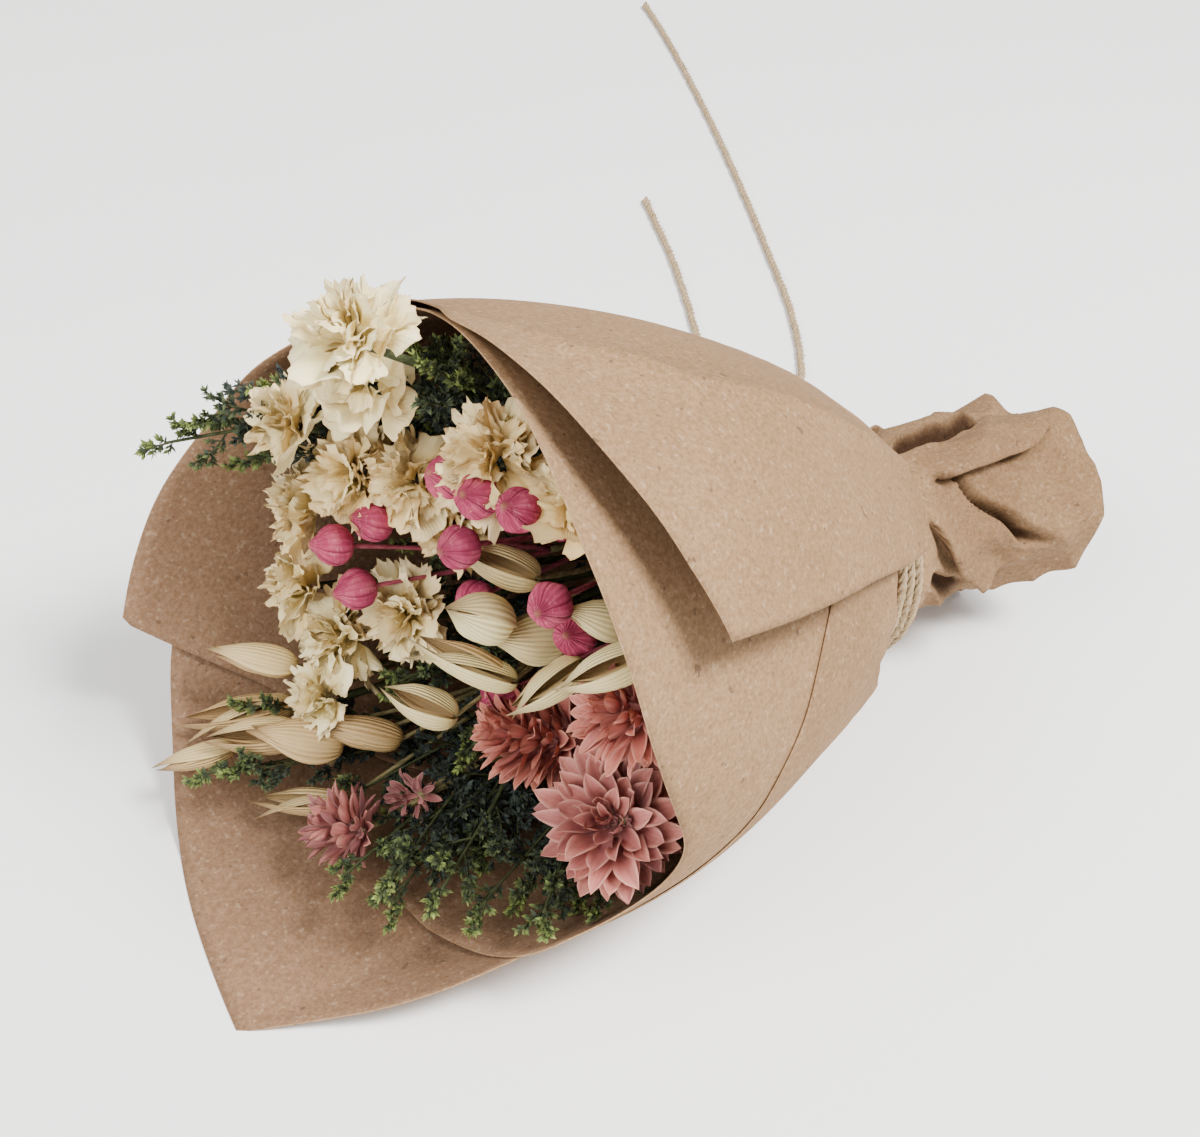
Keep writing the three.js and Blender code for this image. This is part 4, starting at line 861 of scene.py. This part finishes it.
def fan_petal(shape, foot, along, sideways, reach, opening, fold, waves, jagged, shade):
    """Fan with folds that grow towards its jagged edge. Its opening is half its angle."""
    normal = np.cross(along, sideways)
    u, v = petal_grid(FAN_ROWS, FAN_COLUMNS, 0.03)
    phase = rng.uniform(0, ABOUT_A_TURN, 6)
    turn = opening * v * (0.7 + 0.3 * u)
    edge = 1 + 0.10 * np.sin(3.5 * v + phase[0]) + 0.05 * np.sin(9 * v + phase[1]) - 0.25 * np.abs(v) ** 4
    teeth = jagged * rng.uniform(-1, 1, FAN_COLUMNS)[None, :] * smooth(0.65, 1, u)
    far = reach * u ** 0.85 * (edge + teeth)
    folds = (np.sin(waves * v + phase[2] + u) + 0.6 * np.sin(2.3 * waves * v + phase[3] - 1.5 * u)
             + 0.3 * np.sin(4.4 * waves * v + phase[4] + 3 * u))
    curl = rng.uniform(-0.15, 0.3)
    lift = fold * folds * u ** 1.3 - curl * reach * u ** 3
    points = spread(foot, (far * np.cos(turn), along), (far * np.sin(turn), sideways), (lift, normal))
    shape.grid(points, tones(u, (v + 1) / 2, shade))


def wrinkled(points, amount, size, seed):
    """Uneven wrinkles from a few crossing waves."""
    own = np.random.default_rng(seed)
    for _ in range(7):
        way, push = unit(own.normal(size=3)), unit(own.normal(size=3))
        pace = 2 * math.pi / (size * own.uniform(0.6, 1.5))
        wave = np.sin(points @ way * pace + own.uniform(0, ABOUT_A_TURN))
        points = points + amount * wave[..., None] * push
    return points


def cream_flower(at, facing, reach, fine, broad, tan):
    centre, axis = place(*at), direction(*facing)
    side, other = around(axis)
    cup = centre - axis * reach * 0.32
    shape = Shape()
    count = fine + broad
    for k in range(count):
        share = (k + 0.5) / count
        is_broad = k >= fine
        tilt = 0.08 + 1.36 * share ** 0.62 + vary(0.22)
        turn = k * GOLDEN_TURN + vary(0.3)
        outward = towards(side, other, turn)
        along = towards(axis, outward, tilt)
        twist = vary(0.5) if is_broad else vary(1.2)
        sideways = turned(np.cross(axis, outward), along, twist)
        foot = cup + outward * 1.6 * share + axis * (1.0 - 2.4 * share)
        length = reach * (0.78 + 0.20 * share) * rng.uniform(0.84, 1.08)
        shade = np.clip(tan + rng.uniform(-0.25, 0.35), 0, 1)
        if is_broad:
            form = (length * 1.12, rng.uniform(0.7, 1.0), reach * 0.10, 1.5, 0.04)
        else:
            form = (length, rng.uniform(0.42, 0.68), reach * 0.055, 3.2, 0.10)
        fan_petal(shape, foot, along, sideways, *form, shade)
    seed = int(abs(at[0] * 31 + at[1] * 7 + at[2] * 3))
    shape.points = [wrinkled(wrinkled(p, 0.24, 6.5, seed), 0.11, 2.6, seed + 1) for p in shape.points]
    return shape, cup - axis * 2


# Coral flowers: creased blunt straps in layers round an egg-shaped core, given as place, facing, half length
# and radius of the core, number of layers, straps in the widest one, their length, and how dusky they are
CORAL = [
    ((99, 15, -20), (0.91, -0.36, 0.2), (9.5, 3.4), 12, 13, 8.8, 0.1),
    ((108, 43.5, 13.5), (0.9, -0.25, 0.1), (5.5, 3.6), 9, 12, 8.8, 0.2),
    ((101, 42.5, -17.6), (0.74, 0.25, 0.62), (5, 4.2), 8, 14, 11.8, 0.65),
    ((130, -1, -48.2), (0.8, -0.55, 0.1), (4.5, 3), 8, 11, 7.2, 0.85),
    ((116, 0.8, -43), (0.9, 0.1, 0.3), (3, 2.4), 5, 8, 4.2, 1.0)]
STRAP_ROWS = 10
STRAP_COLUMNS = 9


def strap_petal(shape, root, along, sideways, length, width, curl, shade):
    normal = np.cross(along, sideways)
    u, v = petal_grid(STRAP_ROWS, STRAP_COLUMNS)
    half = 0.5 * width * (0.40 + 0.60 * smooth(0, 0.55, u)) * (1 - u ** 5) ** 0.8
    half = half * (1 + 0.08 * np.sin(7 * u + rng.uniform(0, 6)))
    cup = half * (0.60 * np.abs(v) ** 1.2 + 0.10 * np.cos(9 * v))
    lift = cup - curl * length * u ** 2 + 0.05 * length * np.sin(5 * u + rng.uniform(0, 6))
    drift = 0.08 * length * u ** 2 * vary(1)
    points = spread(root, (length * u, along), (half * v + drift, sideways), (lift, normal))
    shape.grid(points, tones(u, (v + 1) / 2, shade))


def coral_flower(at, facing, core, layers, widest, reach, dusky):
    centre, axis = place(*at), direction(*facing)
    side, other = around(axis)
    half, radius = core
    shape = Shape()
    for layer in range(layers):
        share = 0.04 + 0.90 * layer / (layers - 1)
        count = int(round(widest * (0.35 + 0.65 * math.sin(math.pi * min(share, 0.5)))))
        length = reach * (0.42 + 0.58 * math.sin(math.pi * min(share, 0.6) / 1.2))
        for k in range(count):
            turn = 2 * math.pi * (k + 0.5 * (layer % 2)) / count + vary(0.13)
            tilt = 0.12 + 1.5 * share + vary(0.12)
            outward = towards(side, other, turn)
            along = towards(axis, outward, tilt)
            root = centre + towards(axis * half, outward * radius, math.pi * share)
            sideways = turned(np.cross(outward, axis), along, vary(0.5))
            shade = np.clip(dusky + vary(0.25), 0, 1)
            strap_petal(shape, root, along, -sideways, 1.1 * length * rng.uniform(0.80, 1.10),
                        length * rng.uniform(0.36, 0.50), rng.uniform(-0.10, 0.18), shade)
    return shape, centre - axis * half * 0.8


# Pink pods: seamed globes that end in a short point, on thin stalks. Given as the fork and the pods' places.
FLAX = [
    ((84, -2, 20), [(125, -1.3, 37.9), (125, 7.7, 39.7), (122, 3, 24.5)]),
    ((82, 9, 21), [(122, 15.8, 41.7), (107, 12, 34), (118, 25.7, 27)]),
    ((82, -14, 3), [(122, -23.2, 12.4), (127, -27.6, 4.5), (124, -21.2, -2.6), (107, -5.3, 2.2)]),
    ((76, 10, -2), [(106, 22.5, 14.4), (103, 4.7, -15.7)])]


def pod(shape, centre, axis):
    side, other = around(axis)
    u = np.linspace(0, 1, 26)[:, None]
    v = np.linspace(0, 1, 60, endpoint=False)[None, :]
    bend = math.pi * u
    seam = np.abs(((POD_SEAMS * v) % 1) - 0.5) * 2
    half_seam = np.abs(((2 * POD_SEAMS * v) % 1) - 0.5) * 2
    swell = 1 + 0.075 * (seam ** 0.6 - 0.6) * np.sin(bend) + 0.018 * half_seam
    radius = POD_RADIUS * np.sin(bend) ** 0.92 * swell * 0.98
    along = -POD_RADIUS * 0.94 * np.cos(bend)
    point = POD_RADIUS * 0.34 * smooth(0.84, 1, u)
    turn = 2 * math.pi * v
    points = spread(centre, (along + point, axis),
                    (radius * np.cos(turn), side), (radius * np.sin(turn), other))
    points = wrinkled(points, 0.045, 2.4, int(abs(centre[0] * 17 + centre[1] * 5)))
    shape.grid(points, tones(u, v, rng.uniform(0, 1)), around=True)
    for k in range(POD_SEAMS):
        outward = towards(side, other, 2 * math.pi * (k + 0.5) / POD_SEAMS)
        root = centre - axis * POD_RADIUS * 0.93
        along_sepal = unit(axis * 0.25 + outward)
        strap_petal(shape, root, along_sepal, np.cross(axis, outward), 2.6, 1.5, -0.25, 0.5)


# Wild oats: ribbed husks, of which the longest have opened. Given as the fork, and for each husk its place,
# facing, half length and radius.
OATS = [
    ((80, 3, 12), [((112, 4.6, 20), (0.5, -0.6, 0.1), 8, 4.3),
                   ((120, 11.4, 13.3), (0.8, -0.1, 0.3), 7, 5.2),
                   ((108, 13.5, 6.9), (0.9, -0.2, 0.1), 8, 4.2)]),
    ((82, -3, -8), [((117, 8.1, 0.2), (0.6, -0.8, 0.1), 10.5, 4),
                    ((118, -0.3, -17.3), (0.5, -0.8, 0), 7.5, 4.3)]),
    ((78, 18, 6), [((112, 25.2, 6.6), (0.8, -0.1, -0.5), 8, 4),
                   ((116, 40.9, 24.1), (0.7, -0.4, -0.5), 8, 4.3),
                   ((108, 29.5, 23.4), (0.8, -0.3, 0.2), 7, 3.8)]),
    ((96, -36, -40), [((134, -36, -30), (0.8, -0.55, 0), 8.5, 3.6),
                      ((135, -37.5, -44.4), (0.75, -0.5, -0.35), 12, 4.2),
                      ((146, -33.2, -51), (0.8, -0.35, -0.4), 8, 2.8)]),
    ((90, -10, -28), [((131, -20.1, -40), (0.8, -0.5, 0), 9, 4.4),
                      ((137, -27, -42), (0.9, -0.4, -0.1), 9, 4.2),
                      ((121, -13.7, -36.3), (0.8, -0.5, 0), 9, 4),
                      ((130, -15.7, -53), (0.75, -0.6, -0.2), 9.5, 3.4)])]
HUSK_ROWS = 20
HUSK_COLUMNS = 37
OPEN_HUSK = 9              # a husk has opened when half its length is more than this
# painted shade makes the low husks darker and browner
SHADED_BELOW = -25            # the low husks are browner
SHADED_HUSK_DARKNESS, UPPER_HUSK_DARKNESS = 0.85, 0.2
SLOTTED = 0.45             # share of husks with a slot, which faces this way
SLOT_FACES = unit(np.array([0.5, 0.5, 0.7]))


def glume(shape, centre, axis, side, other, half, radius, middle, reach_round, darkness):
    """One boat-shaped wall, ribbed up to its beak. It spans reach_round to both sides of middle."""
    u, v = petal_grid(HUSK_ROWS, HUSK_COLUMNS)
    bend = math.pi * u ** 0.84
    profile = np.sin(bend) ** (0.80 + 0.85 * u)
    ribs = 1 + 0.007 * np.cos(math.pi * 13 * v) * np.sin(bend)
    lip = 1 + 0.20 * np.abs(v) ** 6 * np.sin(bend) + 0.05 * np.sin(9 * u + 4 * v)
    far = radius * profile * ribs * lip
    turn = middle + reach_round * v * (1 - 0.25 * u ** 3)
    along = -half * np.cos(math.pi * u) + 0.30 * half * smooth(0.70, 1, u)
    bow = 0.10 * half * (1 - np.cos(math.pi * u)) / 2
    points = spread(centre, (along, axis), (far * np.cos(turn) + bow * math.cos(middle), side),
                    (far * np.sin(turn) + bow * math.sin(middle), other))
    shape.grid(points, tones(u, (v + 1) / 2, np.clip(darkness + vary(0.25), 0, 1)))


def husk(shape, at, facing, half, radius):
    """Two walls that hold a smaller one. In an opened husk the outer wall swings back from its root, and some
    husks have a slot between the walls, through which the inner one shows."""
    centre, axis = place(*at), direction(*facing)
    sideways = unit(np.cross([0, 0, 1.0], axis))
    upward = np.cross(axis, sideways)
    root = centre - axis * half * 0.9
    roll = vary(0.9)
    darkness = SHADED_HUSK_DARKNESS if at[2] < SHADED_BELOW else UPPER_HUSK_DARKNESS
    reach_round = 1.75
    if rng.uniform() < SLOTTED:
        roll = math.atan2(np.dot(SLOT_FACES, sideways), np.dot(SLOT_FACES, upward)) + math.pi / 2
        reach_round = 1.36
    swing = 0.30 if half > OPEN_HUSK else rng.uniform(0.03, 0.22)
    glume(shape, centre, axis, upward, sideways, half, radius, roll, reach_round, darkness)
    across = towards(sideways, upward, -roll)
    second_axis = turned(axis, across, -swing)
    second_up, second_side = (turned(v, across, -swing) for v in (upward, sideways))
    glume(shape, root + second_axis * half * 0.88, second_axis, second_up, second_side, half * 0.95,
          radius * 0.92, roll + math.pi, reach_round - 0.05, darkness)
    # the inner wall is darkest, painted shade inside the husk
    glume(shape, centre - axis * half * 0.06, axis, upward, sideways, half * 0.84, radius * 0.72,
          roll + 1.5, 2.9, 1)
    return root


# Green sprays: main stem and side branches with twigs, and twiglets with tufts of very small leaves. Given as
# fork, tip, number of twigs, their reach, and the tips of the side branches.
GREEN = [
    ((100, -35, 32), (148, -61, 11), 6, 14,
     [(130, -53, 27), (134, -50, 12), (121, -50, 22), (124, -56, 9), (141, -57, 19), (114, -47, 30)]),
    ((84, -6, 31), (118, -10, 52), 5, 15,
     [(106, -26, 40), (110, 3, 49), (108, -16, 44), (98, -34, 32), (124, -12, 54), (119, -20, 50)]),
    ((80, -26, 21), (111, -37, 42), 4, 14, [(102, -38, 14), (108, -26, 2), (105, -30, 28)]),
    ((82, -12, -14), (116, -12, -22), 5, 12, [(109, -29, -33), (107, -20, -6), (106, 4, -30), (104, 2, -8)]),
    ((88, 4, -30), (126, 27, -41), 6, 16, [(121, 33, -43), (108, 17, -46), (106, 4, -51), (130, 19, -50)]),
    ((88, 22, -32.4), (114, 43.5, -36.5), 5, 14,
     [(103, 48, -34), (98, 38, -42), (109, 33, -43), (96, 26, -44)]),
    ((90, -4, -40), (137, 10, -49), 5, 14, [(126, 12, -54), (112, -3, -49), (132, 20, -40), (104, 7, -50)]),
    ((100, -14, -44), (149, -28, -50), 5, 11, [(128, -9, -50), (136, -34, -40), (144, -23, -47)])]
TWIGLETS = 10
TUFT_LEAVES = 13
TWIG_TURN = 2.4            # from one twig to the next
TIP_RADIUS = 0.3
BRANCH_RADII = (0.55, 0.2)
TWIG_RADII = (0.32, 0.16)
TWIGLET_RADII = (0.16, 0.13, 0.1)
FLOWER_ROOM = 0.5          # how far inside the paper the plants stay
SPRAY_ROOM = 0.8
BRANCH_ROOM = 2.0


def leaf(shape, root, along, length, shade):
    across = towards(*around(along), rng.uniform(0, ABOUT_A_TURN))
    u = np.array([0, 0.45, 1.0])[:, None]
    v = np.array([-1, 1.0])[None, :]
    half = length * 0.24 * np.array([0.3, 1.0, 0.05])[:, None]
    points = spread(root, (length * u, along), (half * v, across),
                    (-0.15 * length * u ** 2, np.cross(along, across)))
    shape.grid(points, tones(np.clip(shade + 0.25 * u, 0, 1), (v + 1) / 2, rng.uniform(0, 1)))


def twig(leaves, twigs, root, along, length, brightness):
    bow = unit(rng.normal(size=3)) * length * 0.12
    path = curve([root, root + along * length * 0.5 + bow, root + along * length], 10)
    twigs.tube(path, np.linspace(*TWIG_RADII, len(path)), 4, 0.5)
    for k in range(TWIGLETS):
        share = 0.22 + 0.78 * k / (TWIGLETS - 1)
        spot = path[min(int(share * (len(path) - 1)), len(path) - 1)]
        outward = towards(*around(along), k * GOLDEN_TURN + vary(0.4))
        lean = rng.uniform(0.5, 0.9) * (1 - 0.6 * (k == TWIGLETS - 1))
        ahead = unit(towards(along, outward, lean))
        reach = length * (0.34 - 0.16 * share)
        end = spot + ahead * reach
        twigs.tube([spot, (spot + end) / 2 + outward * 0.15, end], TWIGLET_RADII, 3, 0.5)
        for j in range(TUFT_LEAVES):
            along_it = 0.25 + 0.75 * (j / (TUFT_LEAVES - 1))
            out = unit(rng.normal(size=3))
            way = unit(ahead * 0.9 + out * 0.8)
            shade = brightness * (0.30 + 0.5 * along_it) + 0.10 * share
            leaf(leaves, spot + (end - spot) * along_it, way, rng.uniform(1.0, 1.9), shade)


def green_spray(start, to, count, reach, sides):
    """A main stem with side branches, all with twigs."""
    start, tip = place(*start), place(*to)
    leaves, twigs = Shape(), Shape()
    route = np.vstack([main_stem(start), (start + tip) / 2, tip])
    path = stem_tube(twigs, route, STEM_RADIUS, TIP_RADIUS, count=70)
    branches = [(path, 0.52, 2 * count + 4)]
    for k, end in enumerate(sides):
        end = place(*end)
        root = path[int((0.56 + 0.05 * k) * (len(path) - 1))]
        middle = (root + end) / 2 + rng.normal(size=3) * 1.5
        way = keep_inside(curve([root, middle, end], 24), BRANCH_ROOM)
        twigs.tube(way, np.linspace(*BRANCH_RADII, len(way)), 5, 0.5)
        branches.append((way, 0.15, count + 3))
    for way, first, number in branches:
        ahead_all = unit(np.gradient(way, axis=0))
        for k in range(number):
            along_it = k / (number - 1)
            where = int((first + (0.995 - first) * along_it) * (len(way) - 1))
            outward = towards(*around(ahead_all[where]), k * TWIG_TURN + vary(0.3))
            lean = 0.3 if k == number - 1 else rng.uniform(0.5, 1.0)
            along = unit(towards(ahead_all[where], outward, lean))
            length = reach * (1.10 - 0.60 * along_it) * rng.uniform(0.75, 1.05)
            twig(leaves, twigs, way[where], along, length, 0.10 + 0.90 * along_it ** 2)
    return leaves, twigs


def plant(kind, index, sort, layers, room=FLOWER_ROOM):
    """Makes one plant's pieces, each given as the end of its name, its shape, its skin and its slot, which is
    not used.
    """
    for ending, shape, skin, slot in layers:
        shape.points = [keep_inside(points, room) for points in shape.points]
        stand_for(shape.make(f"{kind}_{index}{ending}", skin), f"{kind}_{sort}_{index}")


def with_stems(fork, ends):
    """A main stem up to the fork, and from there one thin stalk to each end."""
    stems, stalks = Shape(), Shape()
    path = stem_tube(stems, main_stem(fork), STEM_RADIUS, FORK_RADIUS)
    for k, end in enumerate(ends):
        root = path[int(round((0.985 - 0.025 * k) * (len(path) - 1)))]
        sag = np.array([0, 0, -0.6]) + rng.normal(size=3) * 0.5
        bent = [root, root + (end - root) * 0.5 + sag, end]
        stem_tube(stalks, bent, 1.2 * STALK_RADIUS, STALK_RADIUS, sides=6, count=24)
    return stems, stalks


def plant_heads(kind, table, flower, skin, stem_skin, stem_slot):
    for index, form in enumerate(table, 1):
        petals, back_of_head = flower(*form)
        stems, _ = with_stems(back_of_head, [])
        plant(kind, index, "flower", [
            ("", petals, skin, f"{kind}_petal"), ("_stem", stems, stem_skin, stem_slot)])


plant_heads("coral", CORAL, coral_flower, CORAL_SKIN, STRAW_STEM, "straw_husk")
for index, (fork, pods) in enumerate(FLAX, 1):
    fork = place(*fork)
    globes, ends = Shape(), []
    for at in pods:
        middle = place(*at)
        outwards = unit(middle - fork)
        pod(globes, middle, outwards)
        ends.append(middle - outwards * POD_RADIUS * 0.9)
    stems, stalks = with_stems(fork, ends)
    plant("flax", index, "spray", [
        ("", globes, PINK_SKIN, "pink_pod"), ("_stem", stems, STRAW_STEM, "straw_husk"),
        ("_stalks", stalks, PINK_STEM, "pink_pod")])
for index, (fork, husks) in enumerate(OATS, 1):
    walls = Shape()
    ends = [husk(walls, *form) for form in husks]
    stems, stalks = with_stems(place(*fork), ends)
    plant("oat", index, "spray", [
        ("", walls, STRAW_SKIN, "straw_husk"), ("_stem", stems, STRAW_STEM, "straw_husk"),
        ("_stalks", stalks, STRAW_STEM, "straw_husk")])
plant_heads("cream", CREAM, cream_flower, CREAM_SKIN, GREEN_STEM, "green_leaf")
for index, form in enumerate(GREEN, 1):
    leaves, twigs = green_spray(*form)
    plant("green", index, "spray", [
        ("", leaves, GREEN_SKIN, "green_leaf"), ("_stem", twigs, GREEN_STEM, "green_leaf")], SPRAY_ROOM)


# Floor and light
FLOOR_REACH = 2500
FLOOR_DROP = 0.02          # so that the floor doesn't coincide with what lies on the table
LIGHTS_AIM = (0, 0, 0.05)
# name, place in metres, size, power and colour
LIGHTS = [
    ("key", (-0.34, 0.56, 1.20), 0.42, 44, (1.0, 0.98, 0.95)),
    ("fill", (0.95, 0.10, 0.9), 0.8, 15, (1.0, 0.99, 0.97))]
WORLD_STRENGTH = 0.80


def floor():
    shape = Shape()
    side = np.linspace(-FLOOR_REACH, FLOOR_REACH, 41)
    x, y = np.meshgrid(side, side, indexing="ij")
    shape.grid(np.stack([x, y, 0 * x - FLOOR_DROP], axis=2), (0, 0, 0))
    shape.make("floor", floor_material())


def area_light(name, at, size, power, colour):
    light = bpy.data.lights.new(name, "AREA")
    light.size = size
    light.energy = power
    light.color = colour
    lamp = bpy.data.objects.new(name, light)
    lamp.location = at
    lamp.rotation_euler = (Vector(LIGHTS_AIM) - Vector(at)).to_track_quat("-Z", "Y").to_euler()
    bpy.context.scene.collection.objects.link(lamp)


floor()
for light_form in LIGHTS:
    area_light(*light_form)
world = bpy.data.worlds.new("studio")
world.use_nodes = True
background = world.node_tree.nodes["Background"]
background.inputs["Color"].default_value = (1, 1, 1, 1)
background.inputs["Strength"].default_value = WORLD_STRENGTH
bpy.context.scene.world = world
